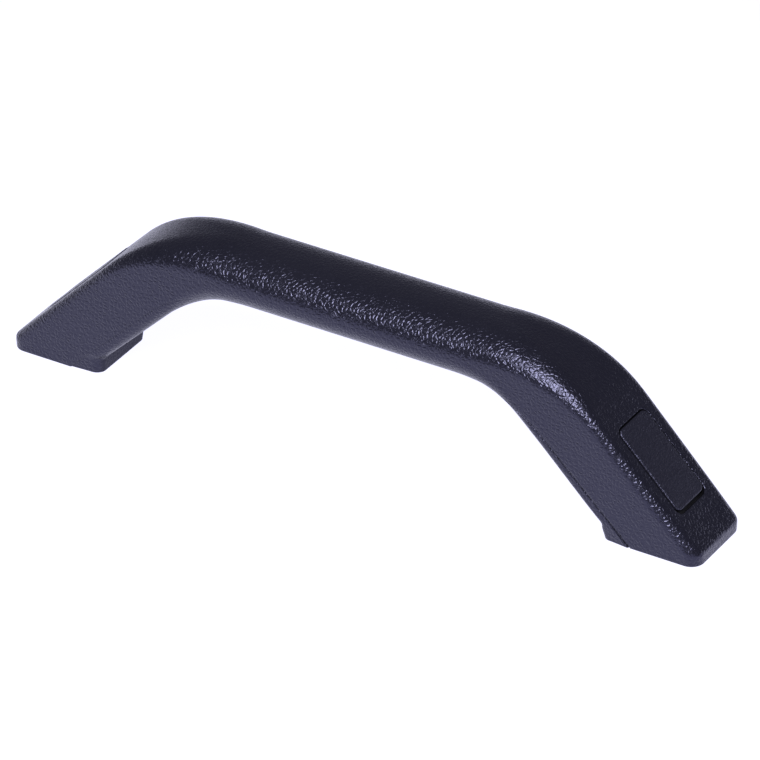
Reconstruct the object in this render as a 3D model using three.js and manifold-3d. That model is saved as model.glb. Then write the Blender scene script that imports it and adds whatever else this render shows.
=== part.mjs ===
// A short bolt-on grab handle. A soft moulded grip covers a bent steel strap,
// and each sloping leg holds a foot plate, a screw pocket and a snap-in cover.
// Millimetres. +X runs along the handle, +Z up from the fixing face at z = 0.

import * as THREE from 'three';
import { mergeVertices } from 'three/addons/utils/BufferGeometryUtils.js';
import Module from 'manifold-3d';

const wasm = await Module();
wasm.setup();

const DEGREE = Math.PI / 180;

// ---------------------------------------------------------------- clearances
const CLEARANCE = 0.3;            // between two pieces that touch on the bench
const COVER_GAP = 0.5;            // round the cover, on three sides
const PRY_GAP = 1.4;              // below the cover, where a blade lifts it

// ---------------------------------------------------------------------- grip
const LENGTH = 300;               // end wall to end wall
const HEIGHT = 70;                // fixing face to the top of the bar
const BAR_WIDTH = 36;
const BAR_THICKNESS = 24;
const FOOT_WIDTH = 34.4;
const FOOT_LENGTH = 34;           // leg on the fixing face, without its heel
const OUTER_SLOPE = 45.5 * DEGREE;
const INNER_SLOPE = 44.5 * DEGREE;
const OUTER_BEND = 70;            // radius where the top turns down
const INNER_BEND = 35;            // radius where the hand space turns down
const END_HEIGHT = 4.8;           // end wall, up to where the slope would meet it
const END_ROUND = 2.6;
const LEG_OUTER_ROUND = 4;        // long edges of a leg's outer face
const LEG_INNER_ROUND = 4.4;      // long edges of a leg's inner face
const FOOT_ROUND = 5.5;           // plan corners at the end wall
const NARROWEST_FLAT = 1;         // left between two rounds of the bar's section
const INNER_BLEND = [-12, 40];    // the round underside turns square, counted from where the bends start
const OUTER_BLEND = [-7, 47];     // and so does the round top
const HEEL_LENGTH = 6.1;          // step at the inner end of a foot
const HEEL_STEP = 0.6;            // heel set in from the side faces
const HEEL_ROUND = 3;
const HEEL_BURY = 1.2;            // heel height that goes on inside the leg

// --------------------------------------------------------------------- strap
const STRAP_WIDTH = 24;
const STRAP_THICKNESS = 4;
const STRAP_BEND = 45;            // radius of its middle line
const STRAP_DEPTH = 3;            // grip between the strap and a leg's inner face

// ---------------------------------------------------------------- foot plate
const PLATE_THICKNESS = 4;
const PLATE_END_INSET = 7;        // from the end wall
const PLATE_SIDE_INSET = 4.5;     // from each side face
const PLATE_HEEL_INSET = 1.5;     // from the heel's wall
const PLATE_ROUND = 3;
const PLATE_HOLE_PLAY = 1;        // hole diameter over the screw's

// --------------------------------------------------------------------- screw
const SCREW_SETBACK = 25;         // from the end wall to the screw's axis
const SCREW_LENGTH = 16;
const SCREW_SIZE = 6;
const HEAD_DIAMETER = 11;
const HEAD_HEIGHT = 4;
const SOCKET_SIZE = 4;            // across flats
const SOCKET_DEPTH = 2.3;
const TIP_HEIGHT = 0.4;           // raised screw, above the fixing face
const TIP_CHAMFER = 0.8;
const SPRING_WASHER = { outer: 10.4, thickness: 1.6, split: 0.9 };
const FLAT_WASHER = { outer: 12, thickness: 1.4 };
const KEEPER = { outer: 11.4, thickness: 1.5 };

// --------------------------------------------------------------------- cover
const COVER_LENGTH = 37;          // along the slope
const COVER_WIDTH = 19.5;
const COVER_THICKNESS = 2.5;
const COVER_ROUND = 2;            // plan corners
const COVER_EDGE = 0.6;           // rounding of its rim
const COVER_PROUD = 0.3;          // above the outer face
const TONGUE_WIDTH = 7;
const TONGUE_THICKNESS = 1.2;
const TONGUE_LENGTH = 3.8;
const TONGUE_INSET = 1.5;         // from the cover's end to the tongue's middle

// --------------------------------------------------------------------- liner
const LINER_WALL = 1.2;
const LINER_FLOOR = 1.6;
const SHAFT_BORE = 14;
const LIP_THICKNESS = 1.2;        // grip over the rim of the liner
const SNAP_BLOCK_DEPTH = 3;       // below the liner's floor

// ------------------------------------------------------------------ fineness
const BAR_STEPS = 5;
const BEND_STEPS = 10;
const LEG_STEPS = 8;
const END_STEPS = 4;
const CORNER_STEPS = 6;
const TURN_STEPS = 36;

// ------------------------------------------------------------- derived places
const HALF_LENGTH = LENGTH / 2;
const FOOT_INNER = HALF_LENGTH - FOOT_LENGTH;
const HEEL_WALL = FOOT_INNER - HEEL_LENGTH;
const SCREW_X = HALF_LENGTH - SCREW_SETBACK;
const STRAP_LEVEL = HEIGHT - BAR_THICKNESS / 2;
const COVER_BOTTOM = COVER_PROUD - COVER_THICKNESS;
const FLOOR_TOP = COVER_BOTTOM - CLEARANCE;
const FLOOR_BOTTOM = FLOOR_TOP - LINER_FLOOR;
const RIM_TOP = -LIP_THICKNESS - CLEARANCE;
const TONGUE_MIDDLE = COVER_LENGTH / 2 - TONGUE_INSET;
const OPENING = {
  up: COVER_LENGTH / 2 + COVER_GAP,
  down: COVER_LENGTH / 2 + PRY_GAP,
  side: COVER_WIDTH / 2 + COVER_GAP,
};

// -------------------------------------------------------------------- helpers
const mix = (from, to, share) => from + (to - from) * share;

function smooth(value, [start, end]) {
  const share = THREE.MathUtils.clamp((value - start) / (end - start), 0, 1);
  return share * share * (3 - 2 * share);
}

/** Even shares from 0 to 1, both ends included. */
const shares = (count) => Array.from({ length: count + 1 }, (_, index) => index / count);

/** The indexed, merged form of a geometry, with no collapsed triangles. */
function welded(geometry) {
  const bare = geometry.clone();
  bare.deleteAttribute('normal');
  bare.deleteAttribute('uv');
  const merged = mergeVertices(bare, 1e-4);
  const index = [];
  const source = merged.index.array;
  for (let corner = 0; corner < source.length; corner += 3) {
    const [a, b, c] = source.slice(corner, corner + 3);
    if (a !== b && b !== c && c !== a) index.push(a, b, c);
  }
  merged.setIndex(index);
  return merged;
}

function solid(geometry) {
  const merged = welded(geometry);
  return new wasm.Manifold(new wasm.Mesh({
    numProp: 3,
    vertProperties: Float32Array.from(merged.attributes.position.array),
    triVerts: Uint32Array.from(merged.index.array),
  }));
}

function geometryOf(manifold) {
  const mesh = manifold.getMesh();
  const geometry = new THREE.BufferGeometry();
  geometry.setAttribute('position', new THREE.BufferAttribute(Float32Array.from(mesh.vertProperties), 3));
  geometry.setIndex(Array.from(mesh.triVerts));
  return geometry;
}

/** The same shape on the other leg, with its faces still pointing out. */
function mirrored(geometry) {
  const other = welded(geometry);
  other.scale(-1, 1, 1);
  const index = Array.from(other.index.array);
  for (let corner = 0; corner < index.length; corner += 3) {
    [index[corner], index[corner + 1]] = [index[corner + 1], index[corner]];
  }
  other.setIndex(index);
  return other;
}

/** Closed skin over rings of equal count, with a flat cap at each end. */
function loft(rings) {
  const count = rings[0].length;
  const positions = rings.flat().flatMap((point) => [point.x, point.y, point.z]);
  const index = [];
  for (let ring = 0; ring + 1 < rings.length; ring += 1) {
    for (let side = 0; side < count; side += 1) {
      const next = (side + 1) % count;
      const a = ring * count + side;
      const b = ring * count + next;
      index.push(a, b + count, b, a, a + count, b + count);
    }
  }
  const last = (rings.length - 1) * count;
  for (let side = 1; side + 1 < count; side += 1) {
    index.push(0, side, side + 1);
    index.push(last, last + side + 1, last + side);
  }
  const geometry = new THREE.BufferGeometry();
  geometry.setAttribute('position', new THREE.Float32BufferAttribute(positions, 3));
  geometry.setIndex(index);
  return geometry;
}

function box(low, high) {
  const geometry = new THREE.BoxGeometry(high[0] - low[0], high[1] - low[1], high[2] - low[2]);
  geometry.translate((low[0] + high[0]) / 2, (low[1] + high[1]) / 2, (low[2] + high[2]) / 2);
  return geometry;
}

/** Rectangle with round corners, from low to high in both directions. */
function roundedShape(low, high, round) {
  const shape = new THREE.Shape();
  shape.moveTo(low[0] + round, low[1]);
  shape.lineTo(high[0] - round, low[1]);
  shape.absarc(high[0] - round, low[1] + round, round, -Math.PI / 2, 0);
  shape.lineTo(high[0], high[1] - round);
  shape.absarc(high[0] - round, high[1] - round, round, 0, Math.PI / 2);
  shape.lineTo(low[0] + round, high[1]);
  shape.absarc(low[0] + round, high[1] - round, round, Math.PI / 2, Math.PI);
  shape.lineTo(low[0], low[1] + round);
  shape.absarc(low[0] + round, low[1] + round, round, Math.PI, Math.PI * 1.5);
  return shape;
}

function prism(shape, bottom, top) {
  const geometry = new THREE.ExtrudeGeometry(shape, {
    depth: top - bottom,
    bevelEnabled: false,
    curveSegments: CORNER_STEPS,
  });
  geometry.translate(0, 0, bottom);
  return geometry;
}

/** Upright tube or rod on a screw axis: the profile is radius and height pairs. */
function turned(profile) {
  const points = profile.map(([radius, height]) => new THREE.Vector2(radius, height));
  const geometry = new THREE.LatheGeometry(points, TURN_STEPS);
  geometry.rotateX(Math.PI / 2);
  geometry.translate(SCREW_X, 0, 0);
  return geometry;
}

function turnedRing(inner, outer, bottom, top) {
  return turned([[inner, bottom], [outer, bottom], [outer, top], [inner, top], [inner, bottom]]);
}

function turnedRod(radius, bottom, top) {
  return turned([[0, bottom], [radius, bottom], [radius, top], [0, top]]);
}

/**
 * Local axes of the cover: x down the outer slope, y across, z out of the face,
 * with the origin on the face straight above the screw.
 */
function onOuterFace(geometry) {
  const down = new THREE.Vector3(Math.cos(OUTER_SLOPE), 0, -Math.sin(OUTER_SLOPE));
  const across = new THREE.Vector3(0, 1, 0);
  const out = new THREE.Vector3(Math.sin(OUTER_SLOPE), 0, Math.cos(OUTER_SLOPE));
  const faceHeight = END_HEIGHT + (HALF_LENGTH - SCREW_X) * Math.tan(OUTER_SLOPE);
  const matrix = new THREE.Matrix4().makeBasis(down, across, out).setPosition(SCREW_X, 0, faceHeight);
  return geometry.applyMatrix4(matrix);
}

// ------------------------------------------------------------ side outlines
/** A level line that bends down by an arc and runs on a slope to its foot point. */
function bentLine(level, slope, bend, foot) {
  const setback = bend * Math.tan(slope / 2);
  const corner = foot.x - (level - foot.y) / Math.tan(slope);
  const bendStart = corner - setback;
  const bendEnd = new THREE.Vector2(corner + setback * Math.cos(slope), level - setback * Math.sin(slope));
  return {
    level: (share) => new THREE.Vector2(bendStart * share, level),
    bend: (share) => new THREE.Vector2(
      bendStart + bend * Math.sin(slope * share),
      level - bend * (1 - Math.cos(slope * share)),
    ),
    slope: (share) => bendEnd.clone().lerp(foot, share),
  };
}

/** Outer side of a leg: the slope, the round at its foot and the end wall. */
function outerLegPoints(outline) {
  const setback = END_ROUND * Math.tan((Math.PI / 2 - OUTER_SLOPE) / 2);
  const centre = new THREE.Vector2(HALF_LENGTH - END_ROUND, END_HEIGHT - setback);
  const slope = shares(LEG_STEPS).map((share) => outline.slope(share));
  const round = shares(END_STEPS).slice(1).map((share) => {
    const turn = mix(OUTER_SLOPE, Math.PI / 2, share);
    return new THREE.Vector2(centre.x + END_ROUND * Math.sin(turn), centre.y + END_ROUND * Math.cos(turn));
  });
  return [...slope, ...round, new THREE.Vector2(HALF_LENGTH, 0)];
}

/** Share of a line's whole length at each of its points. */
function lengthShares(points) {
  const lengths = [0];
  for (let index = 1; index < points.length; index += 1) {
    lengths.push(lengths[index - 1] + points[index].distanceTo(points[index - 1]));
  }
  return lengths.map((length) => length / lengths[lengths.length - 1]);
}

// ------------------------------------------------------------------ the grip
/** Inner and outer side points of the right half, with the share of the leg passed. */
function gripStations() {
  const endSetback = END_ROUND * Math.tan((Math.PI / 2 - OUTER_SLOPE) / 2);
  const slopeFoot = new THREE.Vector2(
    HALF_LENGTH - endSetback * Math.cos(OUTER_SLOPE),
    END_HEIGHT + endSetback * Math.sin(OUTER_SLOPE),
  );
  const outer = bentLine(HEIGHT, OUTER_SLOPE, OUTER_BEND, slopeFoot);
  const inner = bentLine(HEIGHT - BAR_THICKNESS, INNER_SLOPE, INNER_BEND, new THREE.Vector2(FOOT_INNER, 0));
  const bar = shares(BAR_STEPS).map((share) => (
    { inner: inner.level(share), outer: outer.level(share), leg: 0 }
  ));
  const bend = shares(BEND_STEPS).slice(1).map((share) => (
    { inner: inner.bend(share), outer: outer.bend(share), leg: 0 }
  ));
  const legOuter = outerLegPoints(outer);
  const leg = lengthShares(legOuter).map((share, index) => (
    { inner: inner.slope(share), outer: legOuter[index], leg: share }
  )).slice(1);
  return [...bar, ...bend, ...leg];
}

/** Quarter turn of an elliptical corner, as shares of its two half axes. */
const cornerTurn = shares(CORNER_STEPS).map((share) => share * Math.PI / 2);

/** Rounded section standing between an inner and an outer side point. */
function gripRing(station, along) {
  const reach = station.outer.clone().sub(station.inner);
  const depth = reach.length();
  const direction = reach.normalize();
  const halfWidth = mix(BAR_WIDTH, FOOT_WIDTH, station.leg) / 2;
  const skew = mix(1, 1 / Math.sin(OUTER_SLOPE), station.leg);
  const footShare = station.leg ** 6;
  const innerSquare = smooth(along, INNER_BLEND);
  const outerSquare = smooth(along, OUTER_BLEND);
  const roundDepth = (depth - NARROWEST_FLAT) / 2;
  const roundWidth = halfWidth - NARROWEST_FLAT / 2;
  const innerDepth = mix(roundDepth, LEG_INNER_ROUND * skew, innerSquare);
  const innerWidth = mix(roundWidth, LEG_INNER_ROUND, innerSquare);
  const outerDepth = mix(roundDepth, mix(LEG_OUTER_ROUND * skew, FOOT_ROUND, footShare), outerSquare);
  const outerWidth = mix(roundWidth, mix(LEG_OUTER_ROUND, FOOT_ROUND, footShare), outerSquare);
  const front = [
    ...cornerTurn.map((turn) => [
      innerDepth * (1 - Math.cos(turn)),
      innerWidth - halfWidth - innerWidth * Math.sin(turn),
    ]),
    ...cornerTurn.map((turn) => [
      depth - outerDepth * (1 - Math.sin(turn)),
      outerWidth - halfWidth - outerWidth * Math.cos(turn),
    ]),
  ];
  const back = front.map(([height, across]) => [height, -across]).reverse();
  return [...front, ...back].map(([height, across]) => new THREE.Vector3(
    station.inner.x + direction.x * height,
    across,
    station.inner.y + direction.y * height,
  ));
}

function gripBody() {
  const stations = gripStations();
  const middles = stations.map(({ inner, outer }) => inner.clone().lerp(outer, 0.5));
  let along = -middles[BAR_STEPS].distanceTo(middles[0]);
  const right = stations.map((station, index) => {
    along += middles[index].distanceTo(middles[Math.max(index - 1, 0)]);
    return gripRing(station, along);
  });
  const left = right.slice(1).reverse().map((ring) => (
    ring.map((point) => new THREE.Vector3(-point.x, point.y, point.z))
  ));
  return loft([...left, ...right]);
}

/** Low step at the inner end of the right foot, tucked under the sloping face. */
function heel() {
  const halfWidth = FOOT_WIDTH / 2 - HEEL_STEP;
  const height = HEEL_LENGTH * Math.tan(INNER_SLOPE) + HEEL_BURY;
  const inLeg = FOOT_INNER + HEEL_ROUND + HEEL_BURY;
  const plan = roundedShape([HEEL_WALL, -halfWidth], [inLeg, halfWidth], HEEL_ROUND);
  return prism(plan, 0, height);
}

// ----------------------------------------------------------- strap and plates
/** The bent strap, or with grow above zero the hollow that it lies in. */
function strapBody(grow, endHeight) {
  const faceLine = (offset, level, bend) => bentLine(level, INNER_SLOPE, bend, new THREE.Vector2(
    FOOT_INNER + offset / Math.sin(INNER_SLOPE) - endHeight / Math.tan(INNER_SLOPE),
    endHeight,
  ));
  const half = STRAP_THICKNESS / 2 + grow;
  const middle = STRAP_DEPTH + STRAP_THICKNESS / 2;
  const lower = faceLine(middle - half, STRAP_LEVEL - half, STRAP_BEND - half);
  const upper = faceLine(middle + half, STRAP_LEVEL + half, STRAP_BEND + half);
  const pairs = [
    ...shares(1).map((share) => [lower.level(share), upper.level(share)]),
    ...shares(BEND_STEPS).slice(1).map((share) => [lower.bend(share), upper.bend(share)]),
    [lower.slope(1), upper.slope(1)],
  ];
  const halfWidth = STRAP_WIDTH / 2 + grow;
  const ringOf = ([low, high], side) => [
    new THREE.Vector3(side * low.x, -halfWidth, low.y),
    new THREE.Vector3(side * high.x, -halfWidth, high.y),
    new THREE.Vector3(side * high.x, halfWidth, high.y),
    new THREE.Vector3(side * low.x, halfWidth, low.y),
  ];
  const right = pairs.map((pair) => ringOf(pair, 1));
  const left = pairs.slice(1).reverse().map((pair) => ringOf(pair, -1));
  return loft([...left, ...right]);
}

function plateShape(grow) {
  const inner = HEEL_WALL + PLATE_HEEL_INSET - grow;
  const outer = HALF_LENGTH - PLATE_END_INSET + grow;
  const halfWidth = FOOT_WIDTH / 2 - PLATE_SIDE_INSET + grow;
  return roundedShape([inner, -halfWidth], [outer, halfWidth], PLATE_ROUND + grow);
}

function footPlate() {
  const plate = solid(prism(plateShape(0), 0, PLATE_THICKNESS));
  return plate.subtract(solid(turnedRod((SCREW_SIZE + PLATE_HOLE_PLAY) / 2, -1, PLATE_THICKNESS + 1)));
}

/** Everything that one leg's liner takes up, or with grow above zero its hollow. */
function linerEnvelope(grow) {
  const wall = LINER_WALL + grow;
  const tray = onOuterFace(prism(
    roundedShape(
      [-OPENING.up - wall, -OPENING.side - wall],
      [OPENING.down + wall, OPENING.side + wall],
      COVER_ROUND + wall,
    ),
    FLOOR_BOTTOM - grow,
    RIM_TOP + grow,
  ));
  const tube = solid(turnedRod(SHAFT_BORE / 2 + wall, PLATE_THICKNESS + CLEARANCE - grow, HEIGHT));
  const belowFloor = onOuterFace(box([-LENGTH, -LENGTH, -LENGTH], [LENGTH, LENGTH, FLOOR_TOP]));
  let body = solid(tray).add(tube.intersect(solid(belowFloor)));
  for (const end of [-1, 1]) {
    const reach = TONGUE_THICKNESS / 2 + wall;
    const side = TONGUE_WIDTH / 2 + wall;
    body = body.add(solid(onOuterFace(box(
      [end * TONGUE_MIDDLE - reach, -side, FLOOR_BOTTOM - SNAP_BLOCK_DEPTH - grow],
      [end * TONGUE_MIDDLE + reach, side, FLOOR_TOP],
    ))));
  }
  return body;
}

/** The rectangular way in for the cover, down to the given depth below the face. */
function coverOpening(depth) {
  return onOuterFace(prism(
    roundedShape([-OPENING.up, -OPENING.side], [OPENING.down, OPENING.side], COVER_ROUND + COVER_GAP),
    depth,
    COVER_THICKNESS * 2,
  ));
}

function pocketLiner() {
  let body = linerEnvelope(0);
  body = body.subtract(solid(coverOpening(FLOOR_TOP)));
  body = body.subtract(solid(turnedRod(SHAFT_BORE / 2, 0, HEIGHT)));
  for (const end of [-1, 1]) {
    const reach = TONGUE_THICKNESS / 2 + CLEARANCE;
    const side = TONGUE_WIDTH / 2 + CLEARANCE;
    body = body.subtract(solid(onOuterFace(box(
      [end * TONGUE_MIDDLE - reach, -side, FLOOR_BOTTOM - SNAP_BLOCK_DEPTH - 1],
      [end * TONGUE_MIDDLE + reach, side, 0],
    ))));
  }
  return body;
}

function gripSkin() {
  const strapHollow = solid(strapBody(CLEARANCE, PLATE_THICKNESS));
  const plateHollow = prism(plateShape(CLEARANCE), -1, PLATE_THICKNESS + CLEARANCE);
  const rightHeel = heel();
  let body = solid(gripBody()).add(solid(rightHeel)).add(solid(mirrored(rightHeel)));
  const rightHollow = linerEnvelope(CLEARANCE)
    .add(solid(coverOpening(RIM_TOP)))
    .add(solid(plateHollow));
  const hollow = geometryOf(rightHollow);
  body = body.subtract(strapHollow).subtract(rightHollow).subtract(solid(mirrored(hollow)));
  return geometryOf(body);
}

/** The strap, with its two ends cut back round the screw shafts. */
function coreStrap() {
  const relief = turnedRod(SHAFT_BORE / 2 + LINER_WALL + CLEARANCE, 0, HEIGHT / 2);
  let body = solid(strapBody(0, PLATE_THICKNESS + CLEARANCE));
  body = body.subtract(solid(relief)).subtract(solid(mirrored(relief)));
  return geometryOf(body);
}

// --------------------------------------------------------- cover and fasteners
function screwCover() {
  const reach = COVER_LENGTH / 2;
  const side = COVER_WIDTH / 2;
  const plate = new THREE.ExtrudeGeometry(roundedShape([-reach, -side], [reach, side], COVER_ROUND), {
    depth: COVER_THICKNESS - 2 * COVER_EDGE,
    bevelThickness: COVER_EDGE,
    bevelSize: COVER_EDGE,
    bevelOffset: -COVER_EDGE,
    bevelSegments: 3,
    curveSegments: CORNER_STEPS,
  });
  plate.translate(0, 0, COVER_BOTTOM + COVER_EDGE);
  let body = solid(onOuterFace(plate));
  for (const end of [-1, 1]) {
    body = body.add(solid(onOuterFace(box(
      [end * TONGUE_MIDDLE - TONGUE_THICKNESS / 2, -TONGUE_WIDTH / 2, COVER_BOTTOM - TONGUE_LENGTH],
      [end * TONGUE_MIDDLE + TONGUE_THICKNESS / 2, TONGUE_WIDTH / 2, COVER_BOTTOM + COVER_THICKNESS / 2],
    ))));
  }
  return body;
}

function mountingScrew() {
  const seat = TIP_HEIGHT + SCREW_LENGTH;
  const thread = SCREW_SIZE / 2;
  const head = HEAD_DIAMETER / 2;
  const crown = 0.8;
  const blank = solid(turned([
    [0, TIP_HEIGHT],
    [thread - TIP_CHAMFER, TIP_HEIGHT],
    [thread, TIP_HEIGHT + TIP_CHAMFER],
    [thread, seat],
    [head, seat],
    [head, seat + HEAD_HEIGHT - crown * 1.6],
    [head - crown * 0.6, seat + HEAD_HEIGHT - crown * 0.5],
    [head - crown * 2, seat + HEAD_HEIGHT],
    [0, seat + HEAD_HEIGHT],
  ]));
  const socket = new THREE.CylinderGeometry(
    SOCKET_SIZE / Math.sqrt(3),
    SOCKET_SIZE / Math.sqrt(3),
    SOCKET_DEPTH * 2,
    6,
  );
  socket.rotateX(Math.PI / 2);
  socket.translate(SCREW_X, 0, seat + HEAD_HEIGHT);
  return blank.subtract(solid(socket));
}

const SPRING_TOP = TIP_HEIGHT + SCREW_LENGTH - CLEARANCE;
const FLAT_TOP = SPRING_TOP - SPRING_WASHER.thickness - CLEARANCE;
const WASHER_BORE = SCREW_SIZE / 2 + CLEARANCE;

function springWasher() {
  const bottom = SPRING_TOP - SPRING_WASHER.thickness;
  const ring = solid(turnedRing(WASHER_BORE, SPRING_WASHER.outer / 2, bottom, SPRING_TOP));
  const split = box(
    [SCREW_X - SPRING_WASHER.split / 2, 0, bottom - 1],
    [SCREW_X + SPRING_WASHER.split / 2, SPRING_WASHER.outer, SPRING_TOP + 1],
  );
  return ring.subtract(solid(split));
}

function flatWasher() {
  return solid(turnedRing(WASHER_BORE, FLAT_WASHER.outer / 2, FLAT_TOP - FLAT_WASHER.thickness, FLAT_TOP));
}

/** Soft ring on the foot plate that grips the thread until the screw is driven in. */
function screwKeeper() {
  const bottom = PLATE_THICKNESS + CLEARANCE;
  return solid(turnedRing(WASHER_BORE, KEEPER.outer / 2, bottom, bottom + KEEPER.thickness));
}

// ------------------------------------------------------------------ materials
const material = (color, roughness, metalness) => (
  new THREE.MeshStandardMaterial({ color, roughness, metalness })
);
const softGrip = () => material(0x24242e, 0.55, 0);
const coverPlastic = () => material(0x22222b, 0.5, 0);
const linerPlastic = () => material(0x17171b, 0.6, 0);
const strapSteel = () => material(0x6d7075, 0.5, 1);
const zincSteel = () => material(0xb9bcc0, 0.35, 1);
const whiteNylon = () => material(0xe4e2da, 0.5, 0);

// ------------------------------------------------------------------- assembly
const handle = new THREE.Group();

function place(name, geometry, finish) {
  const facets = geometry.toNonIndexed();
  facets.computeVertexNormals();
  const mesh = new THREE.Mesh(facets, finish);
  mesh.name = name;
  handle.add(mesh);
}

place('grip_skin', gripSkin(), softGrip());
place('core_strap', coreStrap(), strapSteel());

const legPieces = [
  ['foot_plate', footPlate, strapSteel],
  ['pocket_liner', pocketLiner, linerPlastic],
  ['screw_cover', screwCover, coverPlastic],
  ['mounting_screw', mountingScrew, zincSteel],
  ['spring_washer', springWasher, zincSteel],
  ['flat_washer', flatWasher, zincSteel],
  ['screw_keeper', screwKeeper, whiteNylon],
];

for (const [name, build, finish] of legPieces) {
  const geometry = geometryOf(build());
  place(`right_${name}`, geometry, finish());
  place(`left_${name}`, mirrored(geometry), finish());
}

export default handle;
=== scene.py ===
"""A short bolt-on grab handle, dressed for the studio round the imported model.

The grip is one soft grained moulding over a bent steel strap. Each sloping leg
holds a foot plate, a screw pocket and a snap-in cover. Every class below works
in millimetres, and Shell.build turns its points into metres.
"""

import logging
import math
from dataclasses import dataclass, field
from enum import Enum
from typing import Sequence

import bpy
import numpy as np
from mathutils import Matrix, Vector


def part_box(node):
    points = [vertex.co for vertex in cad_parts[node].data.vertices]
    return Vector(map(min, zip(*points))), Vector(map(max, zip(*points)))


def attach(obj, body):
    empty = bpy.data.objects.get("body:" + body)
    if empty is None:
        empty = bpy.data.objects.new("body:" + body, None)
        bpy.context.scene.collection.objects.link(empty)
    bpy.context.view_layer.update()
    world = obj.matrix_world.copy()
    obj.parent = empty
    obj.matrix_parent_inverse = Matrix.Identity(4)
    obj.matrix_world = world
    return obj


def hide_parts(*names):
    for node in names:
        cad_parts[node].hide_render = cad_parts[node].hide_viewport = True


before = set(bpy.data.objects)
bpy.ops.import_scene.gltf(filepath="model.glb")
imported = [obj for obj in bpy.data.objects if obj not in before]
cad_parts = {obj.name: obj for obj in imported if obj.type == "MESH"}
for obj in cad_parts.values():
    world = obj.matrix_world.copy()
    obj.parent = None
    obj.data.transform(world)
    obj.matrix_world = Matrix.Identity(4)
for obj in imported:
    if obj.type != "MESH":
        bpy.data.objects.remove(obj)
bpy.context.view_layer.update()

MM = 0.001
SHARP_ANGLE = math.radians(38)
CLEARANCE = 0.3

Array = np.ndarray
Node = bpy.types.ShaderNode
Socket = bpy.types.NodeSocket
Colour = tuple[float, float, float]

log = logging.getLogger("grab_handle")


class Leg(Enum):
    """The two legs, each with the sign of its X."""

    RIGHT = 1
    LEFT = -1

    def piece(self, name: str) -> str:
        """Name of this leg's own piece or body."""
        return f"{self.name.lower()}_{name}"


# --------------------------------------------------------------------- helpers
def smooth_share(value: Array, low: float, high: float) -> Array:
    """Share from 0 at low to 1 at high, level at both ends: 3t^2 - 2t^3.

    Args:
        value: Where the share is wanted.
        low: Value at which it leaves 0.
        high: Value at which it reaches 1.

    Returns:
        The share at each value.
    """
    share = np.clip((value - low) / (high - low), 0.0, 1.0)
    return share * share * (3 - 2 * share)


def blend(start: Array, end: Array, share: Array) -> Array:
    """Straight mix of start and end."""
    return start + (end - start) * share


def node_box(name: str) -> tuple[Array, Array]:
    """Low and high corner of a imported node, in millimetres."""
    low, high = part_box(name)
    return np.array(low) / MM, np.array(high) / MM


def run(start: float, end: float, steps: int) -> Array:
    """Even values from start to end, without the start."""
    return np.linspace(start, end, steps + 1)[1:]


@dataclass(frozen=True)
class Loop:
    """Unit square walked once round: start at the middle of the up side, then -Y.

    The walk has 2 * (rows + columns) points, as many as the rim of a grid with
    that many cells, so a grid's rim and any loop made from it join one to one.
    """

    rows: int = 48
    columns: int = 32

    @property
    def count(self) -> int:
        """Points in one walk round."""
        return 2 * (self.rows + self.columns)

    def walk(self) -> tuple[Array, Array]:
        """Walks round the unit square's rim.

        Returns:
            u, down, and v, across, both from -1 to 1.
        """
        half = self.columns // 2
        down = run(-1, 1, self.rows)
        over = run(-1, 1, self.columns)
        u = np.concatenate([-np.ones(half + 1), down, np.ones(self.columns), -down, -np.ones(half - 1)])
        v = np.concatenate([
            -np.linspace(0, 1, half + 1), -np.ones(self.rows), over,
            np.ones(self.rows), 1 - run(0, 1, half)[:-1],
        ])
        return u, v

    def rim(self, top_row: int, first_column: int, width: int) -> Array:
        """Grid indices of a block's rim, in the order of the walk.

        Args:
            top_row: First row of the block.
            first_column: Column of the block's -Y edge.
            width: Points in one row of the grid.

        Returns:
            One index per point of the walk.
        """
        u, v = self.walk()
        row = top_row + np.rint((u + 1) / 2 * self.rows).astype(int)
        column = first_column + np.rint((v + 1) / 2 * self.columns).astype(int)
        return row * width + column


def rounded_rectangle(u: Array, v: Array, half: tuple[float, float], corner: float) -> Array:
    """Rim of a rectangle with round corners, from the rim of the unit square.

    A point nearer a corner than the radius moves onto the arc, at 45 degrees
    times its share of the way from the arc's end to the corner.

    Args:
        u: Unit rim, first direction.
        v: Unit rim, second direction.
        half: Half sizes in the two directions.
        corner: Corner radius.

    Returns:
        Points, one row each.
    """
    size = np.array(half)
    point = np.stack([np.abs(u), np.abs(v)], axis=-1) * size
    gap = size - point
    on_side = np.isclose(gap[..., 1], 0.0)
    reach = np.where(on_side, gap[..., 0], gap[..., 1])
    turn = np.pi / 4 * (1 - np.clip(reach / max(corner, 1e-6), 0, 1))
    far = corner * np.cos(turn)
    near = corner * np.sin(turn)
    arc = size - corner + np.where(
        on_side[..., None], np.stack([near, far], axis=-1), np.stack([far, near], axis=-1),
    )
    curved = np.where((turn > 0)[..., None], arc, point)
    return curved * np.stack([np.sign(u), np.sign(v)], axis=-1)


@dataclass(frozen=True)
class Moulding:
    """How one leg came out of its half of the mould.

    Rounds are the inner corner's at the bend and at the foot, then the heel's at
    its top and at the base. The heel stands out by step, less taper at its tip.
    """

    rounds: tuple[float, float, float, float]
    step: float
    taper: float
    parting_depth: float
    parting_offset: float


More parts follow.
